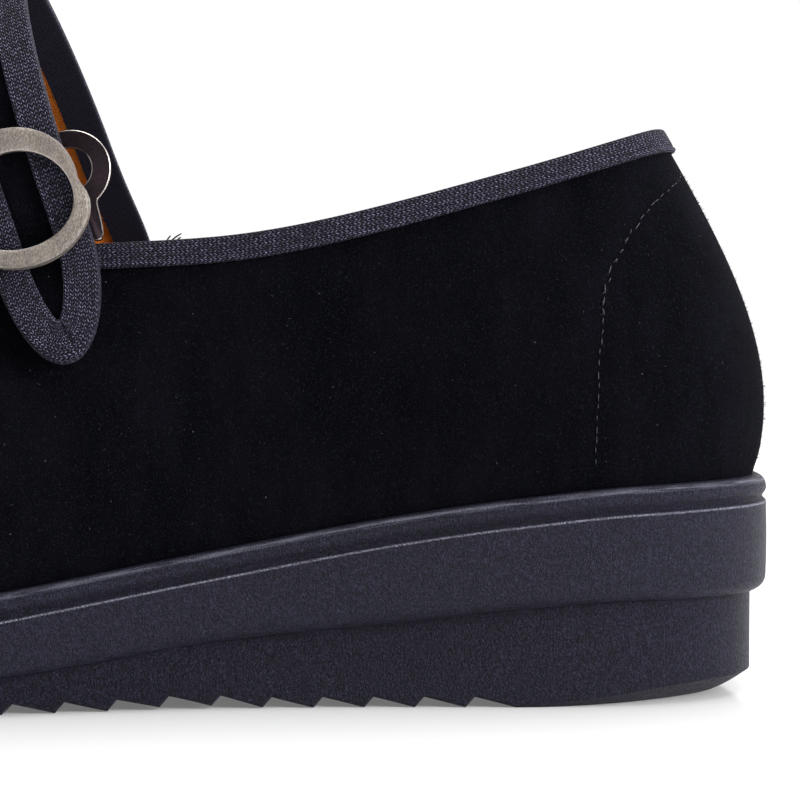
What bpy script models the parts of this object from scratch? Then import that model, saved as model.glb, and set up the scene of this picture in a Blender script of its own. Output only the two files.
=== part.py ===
"""Left cloth shoe with a wedge sole, a velvet upper, a taped collar and a strap with a ring buckle.

Metres, +Z up. +X points to the toe and +Y to the outer side of the foot, where the buckle is.
The origin is on the floor, under the middle of the sole's length and width.
Inside the functions, x is measured from the back end of the sole and y from the heel's middle line.
"""

import math
from collections import namedtuple

import bmesh
import bpy
import numpy as np

# Last and sole
SHOE_LENGTH = 0.245
BALL_HALF_WIDTH = 0.042
COLLAR_RISE = 0.061
HEEL_THICKNESS = 0.0387
BALL_THICKNESS = 0.0142
OUTSOLE_AT_HEEL = 0.0177
OUTSOLE_AT_BALL = 0.0048
TOE_SPRING = 0.0070
ARCH_LIFT = 0.0006
ARCH_LIFT_PLACE = 0.102
ARCH_LIFT_LENGTH = 0.036

# Side of the sole
BEAD_SEAT = 0.0022
BEAD_HEIGHT = 0.0042
OUTSOLE_INSET = 0.0028
CHAMFER_HEIGHT = 0.0025

# Tread
HEEL_TURN_END = 0.0084
HEEL_PAD_END = 0.0463
HEEL_LIFT = 0.0034
HEEL_BEVEL = 0.0066
EDGE_BEVEL = 0.0005
TOOTH_PITCH = 0.00866
TOOTH_DEPTH = 0.0018
TOOTH_STEEP_SHARE = 0.18
WAIST_TEETH = 12
BALL_PAD_LENGTH = 0.036
TOE_TEETH = 4

# Cloth layers
CLEARANCE = 0.0003
WALL = 0.0020
INSOLE_THICKNESS = 0.0030
INSOLE_EASE = 0.0010
TAPE = 0.0007
COLLAR_TAPE_WIDTH = 0.0047

# Strap
STRAP_WIDTH = 0.0178
STRAP_CORE = 0.0016
STRAP_TAPE_WIDTH = 0.0060
STRAP_FOLD_WIDTH = 0.0070
STRAP_LAP = 0.0205
STRAP_TIP = 0.0200
STRAP_ARCH = 0.0475
STRAP_LEAN = 0.338
STRAP_SKEW = 0.0043
STRAP_BACK = 0.035
LAP_TURN = -0.165
LAP_EASE = 0.0004
LAP_SINK = 0.80
ROOT_DEPTH = 0.0100
ROOT_FLARE = 0.0030
ROOT_FLARE_LENGTH = 0.030
ROOT_EASE = 0.0014

# Buckle
RING_RADIUS = 0.0122
RING_HOLE_ACROSS = 0.0094
RING_HOLE_ALONG = 0.0083
RING_THICKNESS = 0.0012
RING_RISE = 0.0086
RING_AHEAD = 0.0008
RING_EDGE = 0.0003
PLATE_RADIUS = 0.0070
PLATE_HOLE_RADIUS = 0.0035
PLATE_THICKNESS = 0.0010
PLATE_BACK = 0.0043
PLATE_RISE = 0.0140
PLATE_TAB_BACK = 0.0089
PLATE_TAB_SPREAD = 0.17
PLATE_TAB_FRONT = 0.0010
PLATE_FOOT = 0.0024

# Fineness of the meshes
STEPS_PER_SECTION = 5
WALL_STEPS = 7
SOLE_STEPS = 40
DENSE = 2000
SEARCH_STEPS = 33
PATH_STEPS = 40
STRAP_STEP = 0.0042
STRAP_REACH = 0.0008
TIP_STEPS = 8
RING_STEPS = 48
PLATE_STEPS = 44
SHARP_ANGLE = 35.0

# Sections round the shoe, from the heel along the outer side to the toe and back along the inner
# side. along is a share of the length, side and collar_side of half the ball width. collar_rise is
# the collar's height over the sole, and the last four are the handles of the wall's curve, all as
# shares of the collar rise: out from the sole's edge, up from it, out from the collar, down from it.
Section = namedtuple(
    "Section",
    "place along side collar_along collar_side collar_rise low_out low_up top_out top_down",
)
SECTIONS = (
    Section("heel", 0.000, 0.000, 0.078, 0.00, 1.000, 0.093, 0.31, 0.225, 0.39),
    Section("outer heel turn", 0.026, 0.430, 0.091, 0.27, 0.992, 0.088, 0.31, 0.205, 0.38),
    Section("outer heel", 0.120, 0.675, 0.147, 0.46, 0.936, 0.078, 0.30, 0.130, 0.34),
    Section("outer seat", 0.258, 0.695, 0.270, 0.56, 0.862, 0.062, 0.30, 0.085, 0.30),
    Section("outer waist", 0.395, 0.735, 0.398, 0.60, 0.854, 0.060, 0.30, 0.080, 0.30),
    Section("outer strap", 0.530, 0.860, 0.520, 0.585, 0.910, 0.060, 0.31, 0.130, 0.30),
    Section("outer ball", 0.675, 0.995, 0.607, 0.50, 0.860, 0.060, 0.30, 0.220, 0.26),
    Section("outer toe side", 0.820, 0.900, 0.662, 0.35, 0.785, 0.050, 0.30, 0.360, 0.24),
    Section("outer toe turn", 0.945, 0.540, 0.690, 0.13, 0.725, 0.042, 0.30, 0.500, 0.22),
    Section("toe", 1.000, -0.100, 0.697, -0.07, 0.705, 0.036, 0.30, 0.560, 0.21),
    Section("inner toe turn", 0.955, -0.640, 0.690, -0.27, 0.730, 0.042, 0.30, 0.480, 0.22),
    Section("inner toe side", 0.845, -0.930, 0.664, -0.46, 0.795, 0.050, 0.30, 0.350, 0.24),
    Section("inner ball", 0.715, -0.985, 0.612, -0.56, 0.870, 0.060, 0.30, 0.220, 0.26),
    Section("inner strap", 0.570, -0.830, 0.520, -0.59, 0.925, 0.060, 0.31, 0.120, 0.30),
    Section("inner waist", 0.425, -0.700, 0.400, -0.585, 0.880, 0.060, 0.30, 0.075, 0.30),
    Section("inner seat", 0.275, -0.655, 0.270, -0.54, 0.870, 0.062, 0.30, 0.085, 0.30),
    Section("inner heel", 0.125, -0.650, 0.147, -0.45, 0.936, 0.078, 0.30, 0.130, 0.34),
    Section("inner heel turn", 0.027, -0.420, 0.091, -0.27, 0.992, 0.088, 0.31, 0.205, 0.38),
)
OUTER_STRAP_ROW = 5
INNER_STRAP_ROW = 13
INNER_WAIST_ROW = 14

# Wedge of the sole. along is a share of the length. top and step are shares of the way from the
# thickness at the ball to the thickness at the heel, of the whole sole and of the outsole.
Wedge = namedtuple("Wedge", "place along top step")
WEDGE = (
    Wedge("heel end", 0.000, 1.000, 0.955),
    Wedge("heel", 0.105, 0.966, 1.035),
    Wedge("heel front", 0.190, 0.882, 0.925),
    Wedge("seat", 0.270, 0.768, 0.762),
    Wedge("waist", 0.400, 0.532, 0.520),
    Wedge("strap", 0.545, 0.262, 0.120),
    Wedge("ball back", 0.650, 0.090, 0.012),
    Wedge("ball", 0.755, 0.000, 0.000),
    Wedge("toe", 1.000, 0.000, 0.000),
)

# Bead round the top of the midsole. inset is a share of the bead's seat, drop of its height.
Bead = namedtuple("Bead", "place inset drop")
BEAD = (
    Bead("seat", 1.00, 0.00),
    Bead("crown", 0.42, 0.10),
    Bead("shoulder", 0.08, 0.33),
    Bead("face", 0.00, 0.62),
    Bead("groove", 0.30, 0.90),
    Bead("lip", 0.00, 1.18),
)

# Free arch of the strap, from the outer collar over the instep to the inner collar. across runs
# from 1 at the outer collar to -1 at the inner one, and rise is a share of the strap's arch.
Arch = namedtuple("Arch", "place across rise")
ARCH = (
    Arch("outer rise", 0.990, 0.24),
    Arch("outer shoulder", 0.900, 0.49),
    Arch("outer crown side", 0.670, 0.74),
    Arch("outer crown", 0.330, 0.93),
    Arch("crown", -0.050, 1.00),
    Arch("inner crown", -0.410, 0.92),
    Arch("inner crown side", -0.720, 0.73),
    Arch("inner shoulder", -0.920, 0.48),
    Arch("inner rise", -1.000, 0.23),
)

COLOURS = {
    "outsole": ((0.021, 0.021, 0.032), 0.55, 0.0),
    "midsole": ((0.026, 0.026, 0.040), 0.50, 0.0),
    "insole": ((0.42, 0.20, 0.06), 0.85, 0.0),
    "upper": ((0.006, 0.006, 0.009), 0.95, 0.0),
    "collar_binding": ((0.030, 0.030, 0.046), 0.80, 0.0),
    "strap": ((0.006, 0.006, 0.009), 0.95, 0.0),
    "strap_binding": ((0.030, 0.030, 0.046), 0.80, 0.0),
    "buckle_ring": ((0.60, 0.56, 0.52), 0.32, 1.0),
    "hook_plate": ((0.22, 0.20, 0.21), 0.38, 1.0),
}


def clear_scene():
    """Remove every object that a new file holds."""
    for item in list(bpy.data.objects):
        bpy.data.objects.remove(item, do_unlink=True)


def unit(vector):
    """The same direction with length one."""
    return vector / np.linalg.norm(vector)


def closed_spline(rows):
    """A function of the row number that runs smoothly through every row and back to the first."""
    points = np.array(rows, float)
    count = len(points)
    eye = np.eye(count)
    matrix = 4.0 * eye + np.roll(eye, 1, 0) + np.roll(eye, -1, 0)
    bend = np.linalg.solve(matrix, 6.0 * (np.roll(points, -1, 0) - 2.0 * points + np.roll(points, 1, 0)))

    def at(place):
        low = math.floor(place)
        t = place - low
        a = low % count
        b = (low + 1) % count
        straight = (1.0 - t) * points[a] + t * points[b]
        return straight + (((1.0 - t) ** 3 - 1.0 + t) * bend[a] + (t ** 3 - t) * bend[b]) / 6.0

    return at


def open_spline(rows):
    """A function of the row number that runs smoothly through every row from first to last."""
    points = np.array(rows, float)
    count = len(points)
    matrix = np.eye(count)
    pull = np.zeros_like(points)
    for i in range(1, count - 1):
        matrix[i, i - 1] = 1.0
        matrix[i, i] = 4.0
        matrix[i, i + 1] = 1.0
        pull[i] = 6.0 * (points[i + 1] - 2.0 * points[i] + points[i - 1])
    bend = np.linalg.solve(matrix, pull)

    def at(place):
        a = min(max(int(math.floor(place)), 0), count - 2)
        t = place - a
        straight = (1.0 - t) * points[a] + t * points[a + 1]
        return straight + (((1.0 - t) ** 3 - 1.0 + t) * bend[a] + (t ** 3 - t) * bend[a + 1]) / 6.0

    return at


def even_curve(xs, ys):
    """A function through the given rows that never overshoots between them."""
    xs = np.array(xs, float)
    ys = np.array(ys, float)
    slopes = np.diff(ys) / np.diff(xs)
    tangents = np.zeros(len(xs))
    for i in range(1, len(xs) - 1):
        before = slopes[i - 1]
        after = slopes[i]
        if before * after > 0.0:
            tangents[i] = 2.0 * before * after / (before + after)

    def at(x):
        i = int(min(max(np.searchsorted(xs, x) - 1, 0), len(xs) - 2))
        width = xs[i + 1] - xs[i]
        t = min(max((x - xs[i]) / width, 0.0), 1.0)
        rise = (3.0 - 2.0 * t) * t * t
        lead = t * (1.0 - t) ** 2 * width * tangents[i]
        trail = t * t * (t - 1.0) * width * tangents[i + 1]
        return ys[i] + (ys[i + 1] - ys[i]) * rise + lead + trail

    return at


outline = closed_spline([(row.along * SHOE_LENGTH, row.side * BALL_HALF_WIDTH) for row in SECTIONS])
collar_plan = closed_spline(
    [(row.collar_along * SHOE_LENGTH, row.collar_side * BALL_HALF_WIDTH) for row in SECTIONS]
)
wall_shape = closed_spline(
    [
        [COLLAR_RISE * share for share in (row.collar_rise, row.low_out, row.low_up, row.top_out, row.top_down)]
        for row in SECTIONS
    ]
)
wedge_top = even_curve([row.along for row in WEDGE], [row.top for row in WEDGE])
wedge_step = even_curve([row.along for row in WEDGE], [row.step for row in WEDGE])
BALL_PAD_START = HEEL_PAD_END + WAIST_TEETH * TOOTH_PITCH
BALL_PAD_END = BALL_PAD_START + BALL_PAD_LENGTH


def outward(place):
    """Direction straight out of the sole's outline, seen from above."""
    ahead = outline(place + 0.01) - outline(place - 0.01)
    return unit(np.array((-ahead[1], ahead[0])))


def inset_outline(inset):
    """The sole's outline moved in, as its outer half and its inner half, both from heel to toe."""
    count = len(SECTIONS)
    places = [count * i / DENSE for i in range(DENSE)]
    loop = np.array([outline(place) - outward(place) * inset for place in places])
    toe = int(np.argmax(loop[:, 0]))
    heel = int(np.argmin(np.roll(loop[:, 0], DENSE // 2))) - DENSE // 2
    outer = np.array([loop[i % DENSE] for i in range(heel, toe + 1)])
    inner = np.array([loop[i % DENSE] for i in range(heel + DENSE, toe - 1, -1)])
    return outer, inner


def spring(x):
    """How far the toe lifts the sole at a distance from the heel."""
    share = max(0.0, (x - BALL_PAD_END) / (SHOE_LENGTH - BALL_PAD_END))
    return TOE_SPRING * share * share


def sole_top(x):
    """Height of the midsole's top, on which the foot stands."""
    share = wedge_top(x / SHOE_LENGTH)
    return BALL_THICKNESS + (HEEL_THICKNESS - BALL_THICKNESS) * share + spring(x)


def sole_step(x):
    """Height of the step between the midsole and the outsole."""
    share = wedge_step(x / SHOE_LENGTH)
    return OUTSOLE_AT_BALL + (OUTSOLE_AT_HEEL - OUTSOLE_AT_BALL) * share + spring(x)


def tread_stations():
    """Distances from the heel where the tread turns: the pads' ends and every tooth's tip and root."""
    stations = []
    for start, teeth in ((HEEL_PAD_END, WAIST_TEETH), (BALL_PAD_END, TOE_TEETH)):
        for i in range(teeth):
            tip = start + i * TOOTH_PITCH
            stations.append((tip, 0.0))
            stations.append((tip + (1.0 - TOOTH_STEEP_SHARE) * TOOTH_PITCH, TOOTH_DEPTH))
        stations.append((start + teeth * TOOTH_PITCH, 0.0))
    return stations


TREAD = tread_stations()


def sole_bottom(x):
    """Height of the outsole's underside: flat pads, sawtooth tread, lifted arch and toe."""
    tooth = float(np.interp(x, [place for place, depth in TREAD], [depth for place, depth in TREAD]))
    waist = (x - ARCH_LIFT_PLACE) / ARCH_LIFT_LENGTH
    arch = ARCH_LIFT * math.cos(math.pi * waist) ** 2 if abs(waist) < 0.5 else 0.0
    return tooth + arch + spring(x)


def heel_share(x):
    """Share of the heel's bevel, from none at the end of the flat heel to all of it at the back."""
    share = min(max((HEEL_PAD_END - x) / (HEEL_PAD_END - HEEL_TURN_END), 0.0), 1.0)
    return share * share * (3.0 - 2.0 * share)


def sole_edge(x):
    """Height of the outsole's lower edge, which rises round the heel."""
    return sole_bottom(x) + EDGE_BEVEL + HEEL_LIFT * heel_share(x)


PLAN = inset_outline(0.0)
SIDE_MIDDLE = (PLAN[0][:, 1].max() + PLAN[1][:, 1].min()) / 2.0


def place_point(x, y, z):
    """A point in the shoe's own frame, from its distances to the heel's end and middle line."""
    return (x - SHOE_LENGTH / 2.0, y - SIDE_MIDDLE, z)


def wall_point(place, v):
    """A point of the upper's outer face, from the sole's edge at v 0 to the collar at v 1."""
    rise, low_out, low_up, top_out, top_down = wall_shape(place)
    normal = outward(place)
    foot = outline(place) - normal * BEAD_SEAT
    rim = collar_plan(place)
    start = np.array((foot[0], foot[1], sole_top(foot[0]) + CLEARANCE))
    end = np.array((rim[0], rim[1], sole_top(rim[0]) + rise))
    low = start + np.array((normal[0] * low_out, normal[1] * low_out, low_up))
    top = end + np.array((normal[0] * top_out, normal[1] * top_out, -top_down))
    w = 1.0 - v
    return w ** 3 * start + 3.0 * w * w * v * low + 3.0 * w * v * v * top + v ** 3 * end


def wall_normal(place, v):
    """Direction out of the upper's outer face."""
    around = wall_point(place + 0.01, v) - wall_point(place - 0.01, v)
    upward = wall_point(place, v + 0.005) - wall_point(place, v - 0.005)
    return unit(np.cross(upward, around))


def wall_below(place, depth):
    """Where the upper's face is a given length below the collar, measured along the wall."""
    steps = np.linspace(1.0, 0.2, SEARCH_STEPS)
    points = np.array([wall_point(place, v) for v in steps])
    run = np.concatenate(([0.0], np.cumsum(np.linalg.norm(np.diff(points, axis=0), axis=1))))
    return float(np.interp(depth, run, steps))


def make_object(name, points, faces, collection):
    """A mesh object from points in the shoe's frame, with its faces turned out and its finish."""
    mesh = bpy.data.meshes.new(name)
    mesh.from_pydata([tuple(float(value) for value in point) for point in points], [], faces)
    work = bmesh.new()
    work.from_mesh(mesh)
    open_edges = [edge for edge in work.edges if edge.is_boundary]
    if not open_edges:
        bmesh.ops.recalc_face_normals(work, faces=work.faces)
    work.to_mesh(mesh)
    work.free()
    item = bpy.data.objects.new(name, mesh)
    collection.objects.link(item)
    mesh.shade_smooth()
    mesh.set_sharp_from_angle(angle=math.radians(SHARP_ANGLE))
    mesh.materials.append(make_material(name))
    return item


def make_material(name):
    """The plain finish of one sub-part."""
    colour, roughness, metallic = COLOURS[name]
    material = bpy.data.materials.new(name + "_finish")
    material.use_nodes = True
    shader = material.node_tree.nodes["Principled BSDF"]
    shader.inputs["Base Color"].default_value = (*colour, 1.0)
    shader.inputs["Roughness"].default_value = roughness
    shader.inputs["Metallic"].default_value = metallic
    return material


def even_shares():
    """Shares of the length that come closer together round the heel and the toe."""
    return [(1.0 - math.cos(math.pi * i / SOLE_STEPS)) / 2.0 for i in range(SOLE_STEPS + 1)]


def sole_ring(inset, height, stations=None):
    """One ring round the sole. Its points pair up across the shoe, so a strip of faces caps it."""
    outer, inner = inset_outline(inset)
    start = outer[0][0]
    end = outer[-1][0]
    if stations is None:
        stations = [start + (end - start) * share for share in even_shares()]
    outer_side = np.interp(stations, outer[:, 0], outer[:, 1])
    inner_side = np.interp(stations, inner[:, 0], inner[:, 1])
    last = len(stations) - 1
    ring = [place_point(x, y, height(x)) for x, y in zip(stations, outer_side)]
    for i in range(last - 1, 0, -1):
        ring.append(place_point(stations[i], inner_side[i], height(stations[i])))
    return ring


def stack_rings(rings):
    """Points and faces of a solid through rings of the same count, capped with strips across."""
    count = len(rings[0])
    half = count // 2
    points = [point for ring in rings for point in ring]
    faces = []
    for level in range(len(rings) - 1):
        base = level * count
        for i in range(count):
            j = (i + 1) % count
            faces.append((base + i, base + j, base + count + j, base + count + i))
    for base in (0, (len(rings) - 1) * count):
        for i in range(half):
            strip = [base + i, base + i + 1, base + (count - i - 1) % count, base + (count - i) % count]
            faces.append(tuple(dict.fromkeys(strip)))
    return points, faces


def contact_ring(edge, stations):
    """The edge of what touches the floor: the outsole's edge drawn in by its bevel."""
    count = len(edge)
    last = len(stations) - 1
    ring = []
    for i in range(count):
        station = stations[i] if i <= last else stations[count - i]
        before = np.array(edge[i - 1][:2])
        after = np.array(edge[(i + 1) % count][:2])
        ahead = unit(after - before)
        bevel = EDGE_BEVEL + HEEL_BEVEL * heel_share(station)
        x = edge[i][0] + ahead[1] * bevel
        y = edge[i][1] - ahead[0] * bevel
        ring.append((x, y, sole_bottom(station)))
    return ring


def build_outsole(collection):
    """Lower band of the sole, with its lifted heel edge, flat pads and sawtooth tread."""
    outer = inset_outline(OUTSOLE_INSET)[0]
    start = outer[0][0]
    end = outer[-1][0]
    teeth = [place for place, depth in TREAD]
    spare = TOOTH_PITCH / 4.0
    plain = [start + (end - start) * share for share in even_shares()]
    stations = [x for x in plain if min(abs(x - tooth) for tooth in teeth) > spare]
    stations = [x for x in stations if not HEEL_PAD_END < x < BALL_PAD_START]
    stations = sorted(stations + [tooth for tooth in teeth if tooth < end - spare])
    edge = sole_ring(OUTSOLE_INSET, sole_edge, stations)
    upper = sole_ring(OUTSOLE_INSET, lambda x: sole_step(x) - CLEARANCE, stations)
    points, faces = stack_rings([contact_ring(edge, stations), edge, upper])
    return make_object("outsole", points, faces, collection)


def build_midsole(collection):
    """Upper band of the sole, which stands out over the outsole and ends in a bead at the upper."""
    rings = [sole_ring(OUTSOLE_INSET, sole_step)]
    rings.append(sole_ring(0.0, lambda x: sole_step(x) + CHAMFER_HEIGHT))
    for row in reversed(BEAD):
        drop = row.drop * BEAD_HEIGHT
        rings.append(sole_ring(row.inset * BEAD_SEAT, lambda x, drop=drop: sole_top(x) - drop))
    points, faces = stack_rings(rings)
    return make_object("midsole", points, faces, collection)


def build_insole(collection):
    """Thin lining slab that fills the floor of the shoe inside the upper."""
    inset = BEAD_SEAT + WALL + INSOLE_EASE
    lower = sole_ring(inset, lambda x: sole_top(x) + CLEARANCE)
    upper = sole_ring(inset, lambda x: sole_top(x) + CLEARANCE + INSOLE_THICKNESS)
    points, faces = stack_rings([lower, upper])
    return make_object("insole", points, faces, collection)


def wall_places():
    """Places round the shoe at which the upper and its tape have a column of points."""
    total = len(SECTIONS) * STEPS_PER_SECTION
    return [i / STEPS_PER_SECTION for i in range(total)]


def build_upper(collection):
    """Hollow velvet upper: one sheet from the sole's edge to the collar, given its wall."""
    places = wall_places()
    rows = WALL_STEPS + 2
    points = []
    for place in places:
        edge = wall_below(place, COLLAR_TAPE_WIDTH - TAPE - CLEARANCE)
        for v in [edge * j / WALL_STEPS for j in range(WALL_STEPS + 1)] + [1.0]:
            points.append(place_point(*wall_point(place, v)))
    faces = []
    for i in range(len(places)):
        here = i * rows
        there = (i + 1) % len(places) * rows
        for j in range(rows - 1):
            faces.append((here + j, here + j + 1, there + j + 1, there + j))
    upper = make_object("upper", points, faces, collection)
    shell = upper.modifiers.new("wall", "SOLIDIFY")
    shell.thickness = WALL
    shell.offset = -1.0
    shell.use_even_offset = True
    shell.use_rim = True
    return upper


def sweep(sections, closed):
    """Points and faces of a solid through sections of the same count, closed or with two ends."""
    count = len(sections[0])
    points = [point for section in sections for point in section]
    faces = []
    spans = len(sections) if closed else len(sections) - 1
    for i in range(spans):
        here = i * count
        there = (i + 1) % len(sections) * count
        for j in range(count):
            k = (j + 1) % count
            faces.append((here + j, here + k, there + k, there + j))
    if not closed:
        last = (len(sections) - 1) * count
        faces.append(tuple(range(count)))
        faces.append(tuple(last + j for j in range(count)))
    return points, faces


def build_collar_binding(collection):
    """Woven tape folded over the collar, with a leg outside the wall and one inside."""
    sections = []
    for place in wall_places():
        edge = wall_below(place, COLLAR_TAPE_WIDTH - TAPE - CLEARANCE)
        rim = wall_point(place, 1.0)
        foot = wall_point(place, edge)
        rim_out = wall_normal(place, 1.0)
        foot_out = wall_normal(place, edge)
        above = unit(rim - foot)
        near = CLEARANCE
        far = CLEARANCE + TAPE
        round_off = TAPE
        section = [
            foot + foot_out * near,
            foot + foot_out * far,
            rim + rim_out * far + above * (far - round_off),
            rim + rim_out * (far - round_off) + above * far,
            rim - rim_out * (WALL + far - round_off) + above * far,
            rim - rim_out * (WALL + far) + above * (far - round_off),
            foot - foot_out * (WALL + far),
            foot - foot_out * (WALL + near),
            rim - rim_out * (WALL + near) + above * near,
            rim + rim_out * near + above * near,
        ]
        sections.append([place_point(*point) for point in section])
    points, faces = sweep(sections, True)
    return make_object("collar_binding", points, faces, collection)


STRAP_HALF_STACK = STRAP_CORE / 2.0 + CLEARANCE + TAPE


def strap_rows():
    """Rows of the strap's middle line: each its place and the direction of its width."""
    lap = []
    tape_out = CLEARANCE + TAPE
    for share in (1.0, 0.5, 0.0):
        place = OUTER_STRAP_ROW - STRAP_BACK + LAP_TURN * share
        v = wall_below(place, STRAP_LAP * share)
        stand = STRAP_HALF_STACK + CLEARANCE + LAP_EASE + tape_out * (1.0 - share * LAP_SINK)
        normal = wall_normal(place, v)
        lap.append((wall_point(place, v) + normal * stand, normal))
    root = []
    span = SECTIONS[INNER_STRAP_ROW].collar_along - SECTIONS[INNER_WAIST_ROW].collar_along
    place = INNER_STRAP_ROW + STRAP_SKEW / (span * SHOE_LENGTH)
    for share in (0.0, 1.0):
        v = wall_below(place, ROOT_DEPTH * share)
        normal = wall_normal(place, v)
        stand = WALL + tape_out + CLEARANCE + ROOT_EASE + STRAP_HALF_STACK
        root.append((wall_point(place, v) - normal * stand, normal))
    outer = lap[-1][0]
    inner = root[0][0]
    width_line = unit(np.array((1.0, 0.0, -STRAP_LEAN)))
    rows = []
    along_lap = [point for point, normal in lap]
    for i, (point, normal) in enumerate(lap):
        upward = along_lap[min(i + 1, 2)] - along_lap[max(i - 1, 0)]
        rows.append(np.concatenate((point, unit(np.cross(normal, upward)))))
    for row in ARCH:
        rise = row.rise * STRAP_ARCH
        y = (outer[1] + inner[1]) / 2.0 + row.across * (outer[1] - inner[1]) / 2.0
        x = outer[0] + STRAP_LEAN * rise - STRAP_SKEW * (1.0 - row.across) / 2.0
        level = outer[2] + (inner[2] - outer[2]) * (1.0 - row.across) / 2.0
        rows.append(np.concatenate(((x, y, level + rise), width_line)))
    for point, normal in root:
        rows.append(np.concatenate((point, width_line)))
    return rows


def strap_path():
    """The strap's middle line as points evenly close together, with the length run so far."""
    rows = strap_rows()
    curve = open_spline(rows)
    samples = PATH_STEPS * (len(rows) - 1)
    line = np.array([curve(i / PATH_STEPS) for i in range(samples + 1)])
    steps = np.linalg.norm(np.diff(line[:, :3], axis=0), axis=1)
    run = np.concatenate(([0.0], np.cumsum(steps)))
    return line, run


STRAP_LINE, STRAP_RUN = strap_path()
STRAP_LENGTH = float(STRAP_RUN[-1])


def strap_frame(s):
    """Middle of the strap, its direction of width and its outer face's normal, at a length run."""
    held = min(max(s, 0.0), STRAP_LENGTH)
    behind = max(held - STRAP_REACH, 0.0)
    beyond = min(held + STRAP_REACH, STRAP_LENGTH)
    middle = np.array([np.interp(held, STRAP_RUN, STRAP_LINE[:, k]) for k in range(6)])
    before = np.array([np.interp(behind, STRAP_RUN, STRAP_LINE[:, k]) for k in range(3)])
    after = np.array([np.interp(beyond, STRAP_RUN, STRAP_LINE[:, k]) for k in range(3)])
    ahead = unit(after - before)
    width = unit(middle[3:] - ahead * np.dot(middle[3:], ahead))
    return middle[:3] + ahead * (s - held), width, np.cross(ahead, width)


def strap_point(s, w, h):
    """A point by its length along the strap, its distance to the toe side and its height outward."""
    middle, width, normal = strap_frame(s)
    return place_point(*(middle + width * w + normal * h))


def strap_edges(s):
    """Half widths of the strap's core to the toe side and to the heel side, at a length run."""
    half = STRAP_WIDTH / 2.0 - CLEARANCE - TAPE
    start = CLEARANCE + TAPE
    toward = max(0.0, 1.0 - (s - start) / STRAP_TIP)
    narrow = math.sqrt(1.0 - toward * toward)
    flare = max(0.0, 1.0 - (STRAP_LENGTH - s) / ROOT_FLARE_LENGTH)
    return half * narrow, half * narrow + ROOT_FLARE * flare * flare


def strap_stations():
    """Lengths run at which the strap has a section, close together round its tip."""
    start = CLEARANCE + TAPE
    stations = []
    for i in range(TIP_STEPS):
        turn = math.pi / 2.0 * (i + 1.0) / (TIP_STEPS + 1.0)
        stations.append(start + STRAP_TIP * (1.0 - math.cos(turn)))
    body = start + STRAP_TIP
    steps = int(round((STRAP_LENGTH - body) / STRAP_STEP))
    stations += [body + (STRAP_LENGTH - body) * i / steps for i in range(steps + 1)]
    return stations


def build_strap(collection):
    """Velvet core of the strap, from its round tip on the outer side to its root inside the collar."""
    half = STRAP_CORE / 2.0
    sections = []
    for s in strap_stations():
        toe_side, heel_side = strap_edges(s)
        corners = ((toe_side, -half), (toe_side, half), (-heel_side, half), (-heel_side, -half))
        sections.append([strap_point(s, w, h) for w, h in corners])
    points, faces = sweep(sections, False)
    return make_object("strap", points, faces, collection)


def heading(route, i):
    """Direction of a flat route at one of its points, along the strap and across it."""
    before = np.array(route[max(i - 1, 0)])
    after = np.array(route[min(i + 1, len(route) - 1)])
    return unit(after - before)


def drawn_in(route, leg):
    """The strap's outline drawn in by a leg of its tape, the two sides kept apart at the tip."""
    edge = []
    for i, (s, w) in enumerate(route):
        run, side = heading(route, i)
        edge.append((s + side * leg, w - run * leg))
    clear = [i for i, (s, w) in enumerate(route) if edge[i][1] * w > CLEARANCE * abs(w)]
    apex = min(edge[i][0] for i in clear)
    narrowest = min(abs(route[i][1]) for i in clear)
    for i, (s, w) in enumerate(route):
        if i not in clear:
            edge[i] = (apex, CLEARANCE * w / narrowest)
    return edge


def build_strap_binding(collection):
    """Woven tape folded over the strap's edge, up one side, round the tip and down the other."""
    stations = strap_stations()
    route = [(s, -strap_edges(s)[1]) for s in reversed(stations)]
    route += [(s, strap_edges(s)[0]) for s in stations]
    inner = STRAP_CORE / 2.0 + CLEARANCE
    outer = inner + TAPE
    far = CLEARANCE + TAPE
    face_edge = drawn_in(route, STRAP_TAPE_WIDTH - far)
    back_edge = drawn_in(route, STRAP_FOLD_WIDTH - far)
    rim = ((CLEARANCE, outer), (far, inner), (far, -inner), (CLEARANCE, -outer))
    seat = ((CLEARANCE, -inner), (CLEARANCE, inner))
    sections = []
    for i, (s, w) in enumerate(route):
        run, side = heading(route, i)
        section = [strap_point(*face_edge[i], h) for h in (inner, outer)]
        section += [strap_point(s - side * e, w + run * e, h) for e, h in rim]
        section += [strap_point(*back_edge[i], h) for h in (-outer, -inner)]
        section += [strap_point(s - side * e, w + run * e, h) for e, h in seat]
        sections.append(section)
    points, faces = sweep(sections, False)
    return make_object("strap_binding", points, faces, collection)


def build_buckle_ring(collection):
    """Flat stamped ring with an oval hole, lying on the strap's outer face just over the collar."""
    base = STRAP_HALF_STACK + CLEARANCE
    top = base + RING_THICKNESS
    centre = STRAP_LAP + RING_RISE
    sections = []
    for i in range(RING_STEPS):
        turn = math.tau * i / RING_STEPS
        along = math.sin(turn)
        across = math.cos(turn)
        hole = 1.0 / math.hypot(across / RING_HOLE_ACROSS, along / RING_HOLE_ALONG)
        profile = (
            (RING_RADIUS, base), (RING_RADIUS, top - RING_EDGE), (RING_RADIUS - RING_EDGE, top),
            (hole + RING_EDGE, top), (hole, top - RING_EDGE), (hole, base),
        )
        sections.append(
            [strap_point(centre + r * along, r * across + RING_AHEAD, h) for r, h in profile]
        )
    points, faces = sweep(sections, True)
    return make_object("buckle_ring", points, faces, collection)


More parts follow.
